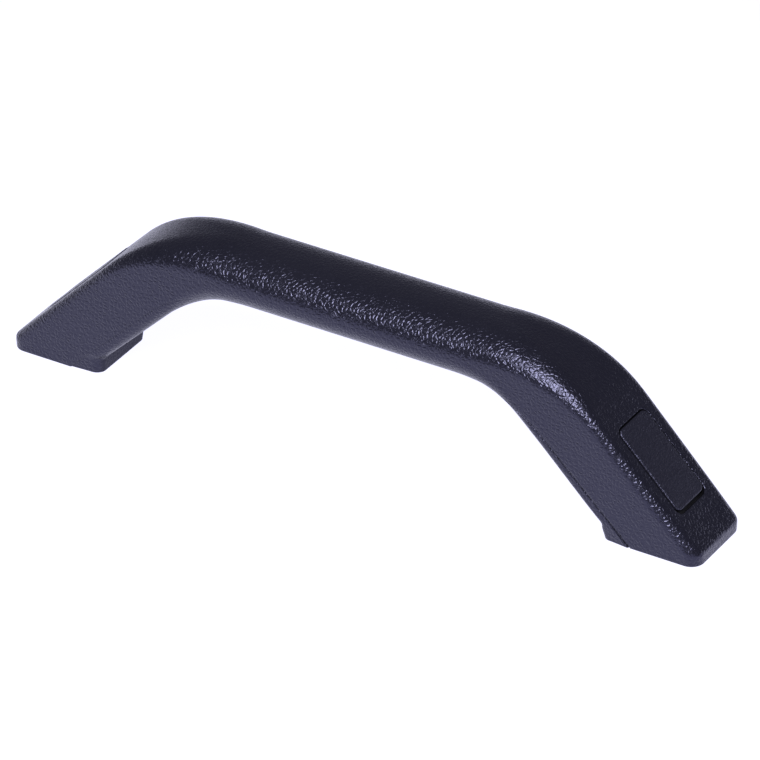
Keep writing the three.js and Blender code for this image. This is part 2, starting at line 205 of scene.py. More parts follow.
@dataclass(frozen=True)
class SlopeFace:
    """Axes of a leg's outer face: down the slope, across (Y), and out of it."""

    origin: tuple[float, float]
    slope: float

    def place(self, down: Array, across: Array, out: Array) -> Array:
        """Right-leg points from distances down, across and out of the face.

        Args:
            down: Distance down the slope from the origin.
            across: Distance along Y.
            out: Distance out of the face.

        Returns:
            X, Y and Z of each point.
        """
        down, across, out = np.broadcast_arrays(down, across, out)
        x = self.origin[0] + down * math.cos(self.slope) + out * math.sin(self.slope)
        z = self.origin[1] - down * math.sin(self.slope) + out * math.cos(self.slope)
        return np.stack([x, across, z], axis=-1)

    def down_at(self, x: Array, out: float) -> Array:
        """Distance down the slope of a point at x, in the plane at that height out."""
        return (x - self.origin[0] - out * math.sin(self.slope)) / math.cos(self.slope)


class Shell:
    """Points and faces gathered for one closed mesh, in millimetres."""

    def __init__(self) -> None:
        """Starts an empty shell."""
        self.blocks: list[Array] = []
        self.marks: list[Array] = []
        self.faces: list[list[int]] = []
        self.count = 0

    def add(self, points: Array, mark: float | Array = 0.0) -> Array:
        """Takes in a block of points.

        Args:
            points: Positions, X, Y and Z last.
            mark: Wear and painted light: above 0 lighter, for wear and a painted highlight; below 0 a painted
                shade, darker and rougher.

        Returns:
            Index of each point, shaped like the block.
        """
        shape = points.shape[:-1]
        size = int(np.prod(shape))
        self.blocks.append(points.reshape(-1, 3))
        self.marks.append(np.broadcast_to(np.asarray(mark, dtype=float), shape).reshape(-1))
        index = np.arange(self.count, self.count + size).reshape(shape)
        self.count += size
        return index

    def quads(self, a: Array, b: Array, c: Array, d: Array, turned: bool = False) -> None:
        """Faces a, b, c, d, or with turned the same faces the other way round."""
        corners = [a, d, c, b] if turned else [a, b, c, d]
        self.faces.extend(np.stack([np.ravel(corner) for corner in corners], axis=-1).tolist())

    def join(self, rings: Sequence[Array], closed: bool = False, turned: bool = False) -> None:
        """Faces between each ring and the next; every ring closes on itself.

        Args:
            rings: Point indices, one array per ring.
            closed: Whether the last ring also joins the first.
            turned: Whether the faces point the other way.
        """
        pairs = list(zip(rings, rings[1:]))
        if closed:
            pairs.append((rings[-1], rings[0]))
        for outer, inner in pairs:
            self.quads(outer, np.roll(outer, -1), np.roll(inner, -1), inner, turned)

    def grid(self, index: Array, keep: Array | None = None, turned: bool = False) -> None:
        """Faces of a grid whose second direction is open.

        Args:
            index: Point indices, rows by columns.
            keep: Which cells get a face; all of them when left out.
            turned: Whether the faces point the other way.
        """
        corners = [index[:-1, :-1], index[:-1, 1:], index[1:, 1:], index[1:, :-1]]
        if keep is not None:
            corners = [corner[keep] for corner in corners]
        self.quads(*corners, turned=turned)

    def cap(self, ring: Array, turned: bool = False) -> None:
        """One flat many-sided face over a ring."""
        order = ring[::-1] if turned else ring
        self.faces.append([int(point) for point in order])

    def build(self, name: str, leg: Leg = Leg.RIGHT) -> bpy.types.Object:
        """Makes the Blender object, in metres, at the origin.

        Args:
            name: Name of the object.
            leg: The left leg turns the shell round in X, faces still outward.

        Returns:
            The new object, linked to the scene.
        """
        points = np.concatenate(self.blocks) * MM
        used = np.zeros(self.count, dtype=bool)
        used[np.concatenate([np.array(face) for face in self.faces])] = True
        place = np.cumsum(used) - 1
        points = points[used]
        faces = [place[face].tolist() for face in self.faces]
        if leg is Leg.LEFT:
            points = points * np.array([-1, 1, 1])
            faces = [face[::-1] for face in faces]
        mesh = bpy.data.meshes.new(name)
        mesh.from_pydata(points.tolist(), [], faces)
        mesh.polygons.foreach_set("use_smooth", np.ones(len(mesh.polygons), dtype=bool))
        mesh.set_sharp_from_angle(angle=SHARP_ANGLE)
        wear_and_painted_light = mesh.attributes.new("wear_and_painted_light", "FLOAT", "POINT")
        wear_and_painted_light.data.foreach_set("value", np.concatenate(self.marks)[used])
        mesh.validate()
        piece = bpy.data.objects.new(name, mesh)
        bpy.context.scene.collection.objects.link(piece)
        log.info("%s: %d points, %d faces", name, len(mesh.vertices), len(mesh.polygons))
        return piece


def turned_rings(centre: float, profile: Sequence[tuple[float, float]], sides: int) -> Array:
    """Rings of a turned shape: radius times (cos, sin) of an even turn, at each height.

    Args:
        centre: X of the upright axis.
        profile: Radius and height pairs.
        sides: Points in a ring.

    Returns:
        Points, one ring per pair of the profile.
    """
    radius, height = np.array(profile, dtype=float).T[:, :, None]
    turn = np.linspace(0, 2 * np.pi, sides, endpoint=False)
    x = centre + radius * np.cos(turn)
    y = radius * np.sin(turn)
    return np.stack([x, y, np.broadcast_to(height, x.shape)], axis=-1)


def round_corners(corners: Sequence[tuple[float, float, float]], steps: int = 4) -> list[tuple[float, float]]:
    """Closed profile whose corners are arcs of their own radius.

    Each arc is the quadratic curve from one tangent point to the next with the
    corner as its middle control point.

    Args:
        corners: Radius, height and rounding of each corner, in order.
        steps: Points on an arc, less one.

    Returns:
        Radius and height pairs.
    """
    table = np.array(corners, dtype=float)
    here, size = table[:, :2], table[:, 2:3]
    back = np.roll(here, 1, axis=0) - here
    ahead = np.roll(here, -1, axis=0) - here
    start = here + back / np.linalg.norm(back, axis=1, keepdims=True) * size
    end = here + ahead / np.linalg.norm(ahead, axis=1, keepdims=True) * size
    share = np.linspace(0, 1, steps + 1)[:, None, None]
    curve = (1 - share) ** 2 * start + 2 * share * (1 - share) * here + share**2 * end
    return [tuple(point) for point in curve.transpose(1, 0, 2).reshape(-1, 2)]


# ------------------------------------------------------------------- materials
class NodeDesk:
    """Adds and links nodes of one material."""

    def __init__(self, name: str) -> None:
        """Starts a material with a plain Principled shader.

        Args:
            name: Name of the material.
        """
        self.material = bpy.data.materials.new(name)
        self.material.use_nodes = True
        self.tree = self.material.node_tree
        self.shader = self.tree.nodes["Principled BSDF"]

    def node(self, kind: str, settings: dict | None = None, **inputs: object) -> Node:
        """Adds a node.

        Args:
            kind: Node type, such as ShaderNodeTexNoise.
            settings: Properties of the node.
            inputs: Socket values or sockets; an underscore stands for a space.

        Returns:
            The node.
        """
        node = self.tree.nodes.new(kind)
        for key, value in (settings or {}).items():
            setattr(node, key, value)
        for key, value in inputs.items():
            self.feed(node.inputs[key.replace("_", " ")], value)
        return node

    def feed(self, socket: Socket, value: object) -> None:
        """Links a socket to the given one, or sets its plain value.

        Args:
            socket: The input.
            value: What it gets: an output socket, a number or a colour.
        """
        if isinstance(value, bpy.types.NodeSocket):
            self.tree.links.new(value, socket)
        else:
            socket.default_value = value

    def maths(self, operation: str, first: object, second: object = 0.0) -> Socket:
        """Result of one Math node.

        Args:
            operation: What the node does.
            first: Its first value or socket.
            second: Its second value or socket.

        Returns:
            The result's socket.
        """
        node = self.node("ShaderNodeMath", {"operation": operation})
        self.feed(node.inputs[0], first)
        self.feed(node.inputs[1], second)
        return node.outputs[0]

    def sum_of(self, *parts: tuple[Socket, float], base: float = 0.0) -> Socket:
        """Base plus each value times its weight.

        Args:
            parts: Pairs of a socket and its weight.
            base: What the sum starts from.

        Returns:
            The sum's socket.
        """
        total: object = base
        for value, weight in parts:
            node = self.node("ShaderNodeMath", {"operation": "MULTIPLY_ADD"})
            for socket, part in zip(node.inputs, (value, weight, total)):
                self.feed(socket, part)
            total = node.outputs[0]
        return total

    def coordinates(self, scale: tuple[float, float, float] = (1, 1, 1), turn: Colour = (0, 0, 0)) -> Socket:
        """Object coordinates in millimetres, scaled and turned.

        Args:
            scale: Stretch along each axis.
            turn: Angles about the axes.

        Returns:
            The coordinates' socket.
        """
        source = self.node("ShaderNodeTexCoord").outputs["Object"]
        size = tuple(value / MM for value in scale)
        mapping = self.node("ShaderNodeMapping", {"vector_type": "POINT"})
        self.feed(mapping.inputs["Vector"], source)
        self.feed(mapping.inputs["Rotation"], turn)
        self.feed(mapping.inputs["Scale"], size)
        return mapping.outputs["Vector"]

    def noise(self, vector: Socket, scale: float, detail: float = 2.0, rough: float = 0.5,
              kind: str = "FBM") -> Node:
        """Noise texture.

        Args:
            vector: Coordinates in millimetres.
            scale: Waves per millimetre.
            detail: Number of finer octaves.
            rough: Weight of each finer octave.
            kind: Noise type.

        Returns:
            The texture's node.
        """
        return self.node(
            "ShaderNodeTexNoise", {"noise_type": kind},
            Vector=vector, Scale=scale, Detail=detail, Roughness=rough,
        )

    def shaken(self, vector: Socket, scale: float, reach: float) -> Socket:
        """Coordinates pushed about by a noise, up to about half of reach.

        Args:
            vector: Coordinates in millimetres.
            scale: Waves per millimetre of the noise.
            reach: Twice the farthest push, in millimetres.

        Returns:
            The pushed coordinates.
        """
        noise = self.noise(vector, scale, 2.0).outputs["Color"]
        centred = self.node("ShaderNodeVectorMath", {"operation": "SUBTRACT"})
        self.feed(centred.inputs[0], noise)
        self.feed(centred.inputs[1], (0.5, 0.5, 0.5))
        pushed = self.node("ShaderNodeVectorMath", {"operation": "MULTIPLY_ADD"})
        self.feed(pushed.inputs[0], centred.outputs[0])
        self.feed(pushed.inputs[1], (reach, reach, reach))
        self.feed(pushed.inputs[2], vector)
        return pushed.outputs[0]

    def ramp(self, value: Socket, low: float, high: float, start: float = 0.0, end: float = 1.0) -> Socket:
        """Smooth step of a value.

        Args:
            value: The socket.
            low: Value at which the result is start.
            high: Value at which the result is end.
            start: First result.
            end: Last result.

        Returns:
            The result's socket.
        """
        node = self.node(
            "ShaderNodeMapRange", {"interpolation_type": "SMOOTHSTEP"},
            Value=value, From_Min=low, From_Max=high, To_Min=start, To_Max=end,
        )
        return node.outputs["Result"]

    def mix_colours(self, share: Socket, first: object, second: object) -> Socket:
        """Colour between two by a share.

        Args:
            share: From 0, the first, to 1, the second.
            first: A colour or a socket.
            second: A colour or a socket.

        Returns:
            The colour's socket.
        """
        node = self.node("ShaderNodeMix", {"data_type": "RGBA"})
        self.feed(node.inputs["Factor"], share)
        self.feed(node.inputs["A"], first if isinstance(first, bpy.types.NodeSocket) else (*first, 1))
        self.feed(node.inputs["B"], second if isinstance(second, bpy.types.NodeSocket) else (*second, 1))
        return node.outputs["Result"]

    def bump(self, height: Socket, distance: float) -> None:
        """Feeds the shader's normal from a height; at 1 it stands up by distance, in millimetres."""
        node = self.node("ShaderNodeBump", Strength=1.0, Distance=distance * MM, Height=height)
        self.feed(self.shader.inputs["Normal"], node.outputs["Normal"])

    def wear_and_painted_light(self) -> Socket:
        """The mark that each point of a new piece carries: wear, painted highlight and painted shade."""
        return self.node("ShaderNodeAttribute", {"attribute_name": "wear_and_painted_light"}).outputs["Fac"]


@dataclass(frozen=True)
class GrainedSkin:
    """Moulded skin with a leather grain: pebbled cells, wrinkles and a fine tooth."""

    colour: Colour = (0.0034, 0.0033, 0.0050)
    # Lighter colour for wear, and for the painted highlight on the cover's rim.
    worn_and_highlight: Colour = (0.0068, 0.0066, 0.0098)
    tint: Colour = (0.64, 0.64, 1.0)
    ior: float = 1.60
    roughness: float = 0.31
    cell: float = 1.7
    cell_height: float = 0.46
    fold: float = 2.7
    fold_height: float = 0.62
    tooth: float = 0.62
    tooth_height: float = 0.22
    depth: float = 0.26

    def make(self, name: str) -> bpy.types.Material:
        """Height is cells plus tooth minus folds; gloss and colour follow the same fields.

        Cells rise as a smooth step of the distance to a Voronoi edge, folds are a
        ridged noise, and both stand on coordinates pushed about by a slow noise.

        Args:
            name: Name of the material.

        Returns:
            The material.
        """
        desk = NodeDesk(name)
        place = desk.coordinates()
        cells = desk.node(
            "ShaderNodeTexVoronoi", {"feature": "DISTANCE_TO_EDGE"},
            Vector=desk.shaken(place, 0.45, 0.9 * self.cell), Scale=1 / self.cell, Randomness=1.0,
        )
        pillow = desk.ramp(cells.outputs["Distance"], 0.0, 0.32)
        bent = desk.shaken(place, 0.25, 1.4 * self.fold)
        ridges = desk.noise(bent, 1 / self.fold, 2.0, 0.55, "RIDGED_MULTIFRACTAL")
        folds = desk.ramp(ridges.outputs["Fac"], 0.15, 1.1)
        tooth = desk.noise(place, 1 / self.tooth, 2.0, 0.6).outputs["Fac"]
        height = desk.sum_of(
            (pillow, self.cell_height), (folds, -self.fold_height), (tooth, self.tooth_height))
        desk.bump(height, self.depth)
        patches = desk.ramp(desk.noise(place, 0.045, 3.0).outputs["Fac"], 0.35, 0.7)
        # The mark's positive part lightens the colour: wear on the grip's top, and a painted highlight on the
        # cover's rounded rim.
        rubbed = desk.maths("MAXIMUM", desk.wear_and_painted_light(), 0.0)
        # The mark's negative part is painted shade: darker colour and more roughness in the parting groove
        # and on the heel's inner wall.
        matte_and_painted_shade = desk.maths("MAXIMUM", desk.maths("MULTIPLY", desk.wear_and_painted_light(), -1.0), 0.0)
        share = desk.sum_of((rubbed, 0.6), (patches, 0.25))
        skin = desk.mix_colours(share, self.colour, self.worn_and_highlight)
        # Colour of the painted shade, far darker than the skin.
        painted_shade_colour = tuple(0.15 * value for value in self.colour)
        desk.feed(desk.shader.inputs["Base Color"], desk.mix_colours(matte_and_painted_shade, skin, painted_shade_colour))
        gloss = desk.sum_of((tooth, 0.10), (folds, 0.06), (matte_and_painted_shade, 0.45), base=self.roughness - 0.08)
        desk.feed(desk.shader.inputs["Roughness"], gloss)
        desk.feed(desk.shader.inputs["IOR"], self.ior)
        desk.feed(desk.shader.inputs["Specular Tint"], (*self.tint, 1))
        return desk.material


@dataclass(frozen=True)
class BareSteel:
    """Steel, rolled or zinc plated: streaks along one way and small stains."""

    colour: Colour = (0.42, 0.43, 0.45)
    stain: Colour = (0.20, 0.20, 0.21)
    roughness: float = 0.34
    streak: tuple[float, float, float] = (0.4, 6.0, 0.4)
    depth: float = 0.04

    def make(self, name: str) -> bpy.types.Material:
        """Stretched noise for the streaks, and a broad noise for the stains.

        Args:
            name: Name of the material.

        Returns:
            The material.
        """
        desk = NodeDesk(name)
        place = desk.coordinates()
        streaks = desk.noise(desk.coordinates(self.streak), 1.0, 4.0, 0.6).outputs["Fac"]
        stains = desk.ramp(desk.noise(place, 0.35, 5.0, 0.65).outputs["Fac"], 0.48, 0.75)
        desk.bump(streaks, self.depth)
        share = desk.maths("MULTIPLY", stains, 0.7)
        desk.feed(desk.shader.inputs["Base Color"], desk.mix_colours(share, self.colour, self.stain))
        gloss = desk.sum_of((stains, 0.22), base=self.roughness)
        desk.feed(desk.shader.inputs["Roughness"], gloss)
        desk.feed(desk.shader.inputs["Metallic"], 1.0)
        return desk.material


@dataclass(frozen=True)
class Nylon:
    """Natural nylon: milky, a little translucent, faintly mottled."""

    colour: Colour = (0.72, 0.70, 0.64)
    shade: Colour = (0.56, 0.53, 0.46)
    roughness: float = 0.42

    def make(self, name: str) -> bpy.types.Material:
        """Broad mottling of the colour over a fine moulded tooth.

        Args:
            name: Name of the material.

        Returns:
            The material.
        """
        desk = NodeDesk(name)
        place = desk.coordinates()
        mottle = desk.ramp(desk.noise(place, 0.5, 4.0).outputs["Fac"], 0.35, 0.7)
        desk.feed(desk.shader.inputs["Base Color"], desk.mix_colours(mottle, self.colour, self.shade))
        gloss = desk.ramp(mottle, 0, 1, self.roughness, self.roughness + 0.1)
        desk.feed(desk.shader.inputs["Roughness"], gloss)
        desk.feed(desk.shader.inputs["Subsurface Weight"], 0.15)
        desk.feed(desk.shader.inputs["Subsurface Radius"], (0.0012, 0.0010, 0.0008))
        desk.bump(desk.noise(place, 3.0, 2.0).outputs["Fac"], 0.02)
        return desk.material


class Finish(Enum):
    """The material slots, each with the finish that it gets here."""

    GRIP = ("grained_soft_grip", GrainedSkin())
    COVER = ("grained_cover_plastic", GrainedSkin(
        colour=(0.0046, 0.0045, 0.0070), roughness=0.36, cell=1.2, cell_height=0.25,
        fold=1.5, fold_height=0.45, tooth=0.5, tooth_height=0.8, depth=0.26))
    LINER = ("liner_plastic", GrainedSkin(
        colour=(0.009, 0.009, 0.011), worn_and_highlight=(0.02, 0.02, 0.022), tint=(1, 1, 1), ior=1.5, roughness=0.5,
        cell_height=0.1, fold_height=0.1, depth=0.08))
    STRAP = ("strap_steel", BareSteel())
    ZINC = ("zinc_steel", BareSteel((0.62, 0.63, 0.66), (0.44, 0.44, 0.46), 0.24, (1.2, 1.2, 9.0), 0.016))
    NYLON = ("natural_nylon", Nylon())

    @property
    def slot(self) -> str:
        """Name of the material slot."""
        return self.value[0]

    def material(self) -> bpy.types.Material:
        """The finish's material, made once."""
        made = bpy.data.materials.get(f"finish_{self.slot}")
        return made or self.value[1].make(f"finish_{self.slot}")

    def dress(self, piece: bpy.types.Object, wanted: bool = True) -> None:
        """Gives a piece this finish.

        Args:
            piece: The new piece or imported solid.
            wanted: Has no effect; the slot's name is read and not used.
        """
        piece.data.materials.clear()
        piece.data.materials.append(self.material())
        if wanted:
            self.slot


# ------------------------------------------------------------------------ grip
@dataclass
class GripSkin:
    """The soft moulding: a rounded bar that bends down into two square legs."""

    length: float
    width: float
    height: float
    bar_thickness: float = 24.0
    foot_width: float = 34.4
    foot_length: float = 34.0
    outer_slope: float = math.radians(45.5)
    inner_slope: float = math.radians(44.5)
    outer_bend: float = 70.0
    inner_bend: float = 35.0
    end_height: float = 4.8
    end_round: float = 2.6
    outer_round: float = 4.0
    mouldings: dict[Leg, Moulding] = field(default_factory=lambda: {
        Leg.RIGHT: Moulding((3.0, 1.7, 1.2, 3.2), 0.25, 0.8, 0.6, 4.1),
        Leg.LEFT: Moulding((4.2, 3.8, 3.6, 4.2), -0.5, 0.5, 0.16, 5.0),
    })
    foot_round: float = 5.5
    foot_power: int = 6
    narrowest_flat: float = 1.0
    inner_blend: tuple[float, float] = (-12.0, 40.0)
    outer_blend: tuple[float, float] = (-7.0, 47.0)
    heel_length: float = 6.5
    heel_lean: float = 0.35
    heel_fillet: float = 0.8
    heel_share: float = 8.0
    heel_turn: tuple[float, float] = (-0.25, 0.1)
    heel_span: tuple[float, float] = (0.2, 1.1)
    heel_fade: tuple[float, float] = (-0.6, 0.2)
    # Painted shade on the heel's inner wall, with more roughness too.
    heel_matte_and_shade: float = 0.8
    inner_span: tuple[float, float] = (0.0, 0.75)
    above_heel: float = -9.0
    taper_length: float = 8.0
    base_fillet: float = 0.4
    parting_half: float = 0.7
    parting_bead: float = 0.2
    parting_fade: tuple[float, float] = (-6.0, 34.0)
    bar_parting: float = 2.6
    bar_valley: float = 0.04
    valley_width: float = 0.42
    bead_place: float = 0.72
    bead_width: float = 0.3
    side_step: float = -0.10
    side_fade: tuple[float, float] = (2.0, 7.0)
    step_width: float = 0.3
    screw_setback: float = 25.0
    half_opening: tuple[float, float] = (19.45, 10.25)
    opening_shift: float = 0.45
    opening_corner: float = 3.2
    patch_half: tuple[float, float] = (21.8, 12.3)
    patch_shift: float = 0.5
    lip_round: float = 0.5
    lip_thickness: float = 1.2
    wall: float = 1.5
    pocket_depth: float = 7.4
    shaft_radius: float = 8.5
    plate_low: tuple[float, float] = (112.0, -13.0)
    plate_high: tuple[float, float] = (143.0, 13.0)
    plate_corner: float = 3.0
    plate_thickness: float = 4.0
    loop: Loop = field(default_factory=Loop)
    bar_rows: int = 36
    bend_rows: int = 48
    leg_rows: tuple[int, int, int, int] = (5, 16, 5, 6)
    inner_columns: int = 24
    groove_columns: tuple[float, ...] = (-1.0, -0.56, -0.24, 0.0, 0.24, 0.56, 1.0)
    dense: int = 110
    probe: float = 0.05
    rubbed_top: float = 9.0
    rubbed_along: tuple[float, float] = (40.0, 75.0)
    rubbed_most: float = 0.35

    @classmethod
    def from_frame(cls) -> "GripSkin":
        """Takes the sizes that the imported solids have.

        Returns:
            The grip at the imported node's length, width and height.
        """
        low, high = node_box("grip_skin")
        plate_low, plate_high = node_box("right_foot_plate")
        return cls(
            length=high[0] - low[0],
            width=high[1] - low[1],
            height=high[2],
            plate_low=(plate_low[0], plate_low[1]),
            plate_high=(plate_high[0], plate_high[1]),
            plate_thickness=plate_high[2],
        )

    @property
    def face(self) -> SlopeFace:
        """Axes of the outer face.

        Returns:
            The axes, from a point straight above the screw.
        """
        x = self.length / 2 - self.screw_setback
        height = self.end_height + self.screw_setback * math.tan(self.outer_slope)
        return SlopeFace((x, height), self.outer_slope)

    def bent_line(self, level: float, slope: float, bend: float,
                  foot: tuple[float, float]) -> tuple[float, Array]:
        """Where a level line's bend starts and where it ends.

        Args:
            level: Height of the level stretch.
            slope: Angle of the slope below it.
            bend: Radius between them.
            foot: Point that the slope runs to.

        Returns:
            X of the bend's start, and X and Z of its end.
        """
        setback = bend * math.tan(slope / 2)
        corner = foot[0] - (level - foot[1]) / math.tan(slope)
        end = np.array([corner + setback * math.cos(slope), level - setback * math.sin(slope)])
        return corner - setback, end

    def side_rows(self) -> dict[str, Array]:
        """Inner and outer side points of each row of the right half.

        A row is a straight cut from the inner to the outer outline. Both run
        level, turn on an arc by equal shares, and go down their slopes; the
        outer one ends in a small round and the end wall, the inner one in the
        step of the heel.

        Returns:
            inner and outer: X and Z. leg: share of the leg. along: length of the
            middle line from the bend's start. heel: share of the heel's wall,
            below 0 above it. top_row: first row of the cover's patch.
        """
        half = self.length / 2
        foot_inner = half - self.foot_length
        outer_start, outer_end = self.bent_line(
            self.height, self.outer_slope, self.outer_bend, (half, self.end_height),
        )
        level = self.height - self.bar_thickness
        inner_start, inner_end = self.bent_line(level, self.inner_slope, self.inner_bend, (foot_inner, 0.0))

        share = np.linspace(0, 1, self.bar_rows + 1)
        bar_outer = np.stack([outer_start * share, np.full_like(share, self.height)], axis=-1)
        bar_inner = np.stack([inner_start * share, np.full_like(share, level)], axis=-1)

        turn = run(0, 1, self.bend_rows)
        bend_outer = np.stack([
            outer_start + self.outer_bend * np.sin(self.outer_slope * turn),
            self.height - self.outer_bend * (1 - np.cos(self.outer_slope * turn)),
        ], axis=-1)
        bend_inner = np.stack([
            inner_start + self.inner_bend * np.sin(self.inner_slope * turn),
            level - self.inner_bend * (1 - np.cos(self.inner_slope * turn)),
        ], axis=-1)

        leg_outer, top_row = self.outer_leg(outer_end)
        steps = np.linalg.norm(np.diff(np.vstack([outer_end[None], leg_outer]), axis=0), axis=1)
        run_length = np.cumsum(steps)
        whole = run_length[-1]
        leg_inner, heel = self.inner_leg(inner_end, run_length, whole)

        inner = np.vstack([bar_inner, bend_inner, leg_inner])
        outer = np.vstack([bar_outer, bend_outer, leg_outer])
        flat = np.zeros(len(bar_outer) + self.bend_rows)
        middle = (inner + outer) / 2
        along = np.concatenate([[0.0], np.cumsum(np.linalg.norm(np.diff(middle, axis=0), axis=1))])
        return {
            "inner": inner,
            "outer": outer,
            "leg": np.concatenate([flat, run_length / whole]),
            "heel": np.concatenate([flat + self.above_heel, heel]),
            "along": along - along[self.bar_rows],
            "top_row": np.array(len(flat) + top_row),
        }

    def outer_leg(self, start: Array) -> tuple[Array, int]:
        """Outer outline below the bend, and the row at which the patch starts.

        Args:
            start: End of the bend.

        Returns:
            X and Z of each row after the bend, and that row's number.
        """
        face = self.face
        half = self.length / 2
        back = self.end_round * math.tan((math.pi / 2 - self.outer_slope) / 2)
        first = face.down_at(start[0], 0.0)
        top = self.patch_shift - self.patch_half[0]
        bottom = self.patch_shift + self.patch_half[0]
        last = face.down_at(half, 0.0) - back
        above, below, rounding, wall_rows = self.leg_rows
        down = np.concatenate([
            run(first, top, above), run(top, bottom, self.loop.rows), run(bottom, last, below),
        ])
        slope = face.place(down, 0.0, 0.0)[:, [0, 2]]
        turn = run(self.outer_slope, math.pi / 2, rounding)
        centre = np.array([half - self.end_round, self.end_height - back])
        arc = centre + self.end_round * np.stack([np.sin(turn), np.cos(turn)], axis=-1)
        wall = np.stack([np.full(wall_rows, half), run(arc[-1, 1], self.base_fillet, wall_rows)], axis=-1)
        return np.vstack([slope, arc, wall]), above - 1

    def inner_leg(self, start: Array, reached: Array, whole: float) -> tuple[Array, Array]:
        """Inner outline below the bend: slope, small fillet, wall of the heel.

        Args:
            start: End of the bend.
            reached: Length of the outer outline at each row.
            whole: Its whole length.

        Returns:
            X and Z of each row, and the share of the heel's wall at each.
        """
        wall_x = self.length / 2 - self.foot_length - self.heel_length
        way = np.array([math.cos(self.inner_slope), -math.sin(self.inner_slope)])
        corner = start + way * ((wall_x - start[0]) / way[0])
        turn_by = math.pi / 2 - self.inner_slope
        back = self.heel_fillet * math.tan(turn_by / 2)
        slope_length = np.linalg.norm(corner - start) - back
        arc_length = self.heel_fillet * turn_by
        wall_length = corner[1] - back - self.base_fillet
        distance = np.interp(
            reached,
            [0.0, whole - self.heel_share, whole],
            [0.0, slope_length, slope_length + arc_length + wall_length],
        )
        on_slope = start + way * distance[:, None]
        angle = self.inner_slope + np.clip(distance - slope_length, 0, arc_length) / self.heel_fillet
        centre = start + way * slope_length + self.heel_fillet * np.array([way[1], -way[0]])
        arc = centre + self.heel_fillet * np.stack([np.sin(angle), np.cos(angle)], axis=-1)
        wall_run = np.clip(distance - slope_length - arc_length, 0, None)
        lean = self.heel_lean * smooth_share(wall_run, 0.0, 2 * wall_length)
        wall = np.stack([wall_x + 2 * lean, corner[1] - back - wall_run], axis=-1)
        past_slope = (distance > slope_length)[:, None]
        past_arc = (distance > slope_length + arc_length)[:, None]
        points = np.where(past_arc, wall, np.where(past_slope, arc, on_slope))
        heel = (distance - slope_length) / (arc_length + wall_length)
        return points, heel

    def sections(self, rows: dict[str, Array], moulding: Moulding) -> tuple[Array, Array, Array, Array]:
        """Half of each row's section, closely sampled from the inner to the outer middle.

        The section is a rectangle with elliptical corners. Where the bar is
        straight the corners take all of it, and down the leg they shrink to the
        leg's own rounds.

        Args:
            rows: Result of side_rows.
            moulding: The leg's own rounds.

        Returns:
            Depth from the inner outline, distance across, length round the
            section, and the direction from inner to outer point.
        """
        reach = rows["outer"] - rows["inner"]
        depth = np.linalg.norm(reach, axis=1)
        direction = reach / depth[:, None]
        leg, along, heel = rows["leg"], rows["along"], rows["heel"]
        half = blend(self.width, self.foot_width, leg) / 2
        skew = blend(1.0, 1 / math.sin(self.outer_slope), leg)
        at_foot = leg**self.foot_power
        inner_share = smooth_share(along, *self.inner_blend)
        outer_share = smooth_share(along, *self.outer_blend)
        round_depth = (depth - self.narrowest_flat) / 2
        round_width = half - self.narrowest_flat / 2
        bend_corner, foot_corner, heel_top, heel_base = moulding.rounds
        heel_round = blend(heel_top, heel_base, smooth_share(heel, *self.heel_span))
        turned = smooth_share(heel, *self.heel_turn)
        inner_round = blend(bend_corner, foot_corner, smooth_share(leg, *self.inner_span))
        inner_depth = blend(round_depth, blend(inner_round * skew, heel_round, turned), inner_share)
        inner_width = blend(round_width, blend(inner_round, heel_round, turned), inner_share)
        outer_deep = blend(self.outer_round * skew, self.foot_round, at_foot)
        outer_wide = blend(self.outer_round, self.foot_round, at_foot)
        outer_depth = blend(round_depth, outer_deep, outer_share)
        outer_width = blend(round_width, outer_wide, outer_share)

        share = np.linspace(0, 1, self.dense)[None]
        turn = share * np.pi / 2
        columns = [value[:, None] for value in (
            depth, half, inner_depth, inner_width, outer_depth, outer_width)]
        deep, wide, id_, iw, od, ow = columns
        heights = [
            0 * share * deep,
            id_ * (1 - np.cos(turn)),
            blend(id_, deep - od, share),
            deep - od * (1 - np.sin(turn)),
            deep + 0 * share,
        ]
        across = [
            -share * (wide - iw),
            iw - wide - iw * np.sin(turn),
            -wide + 0 * share,
            ow - wide - ow * np.cos(turn),
            (share - 1) * (wide - ow),
        ]
        heights = np.concatenate([part if k == 0 else part[:, 1:] for k, part in enumerate(heights)], axis=1)
        across = np.concatenate([part if k == 0 else part[:, 1:] for k, part in enumerate(across)], axis=1)
        steps = np.hypot(np.diff(heights, axis=1), np.diff(across, axis=1))
        length = np.concatenate([np.zeros((len(depth), 1)), np.cumsum(steps, axis=1)], axis=1)
        return heights, across, length, direction

    def parting(self, rows: dict[str, Array], direction: Array, on_leg: float) -> Array:
        """Depth, from the inner outline, at which the mould's parting line crosses a row.

        Args:
            rows: Result of side_rows.
            direction: From inner to outer point of each row.
            on_leg: Its distance from the inner slope, down the leg.

        Returns:
            The depth at each row.
        """
        foot = np.array([self.length / 2 - self.foot_length, 0.0])
        turn = np.interp(np.arange(len(direction)), [self.bar_rows, self.bar_rows + self.bend_rows], [0, 1])
        angle = self.inner_slope * turn
        square = np.stack([np.sin(angle), np.cos(angle)], axis=-1)
        offset = blend(self.bar_parting, on_leg, turn)
        short = np.where(rows["heel"] > 0, ((rows["inner"] - foot) * square).sum(axis=1), 0.0)
        return (offset - short) / (direction * square).sum(axis=1)

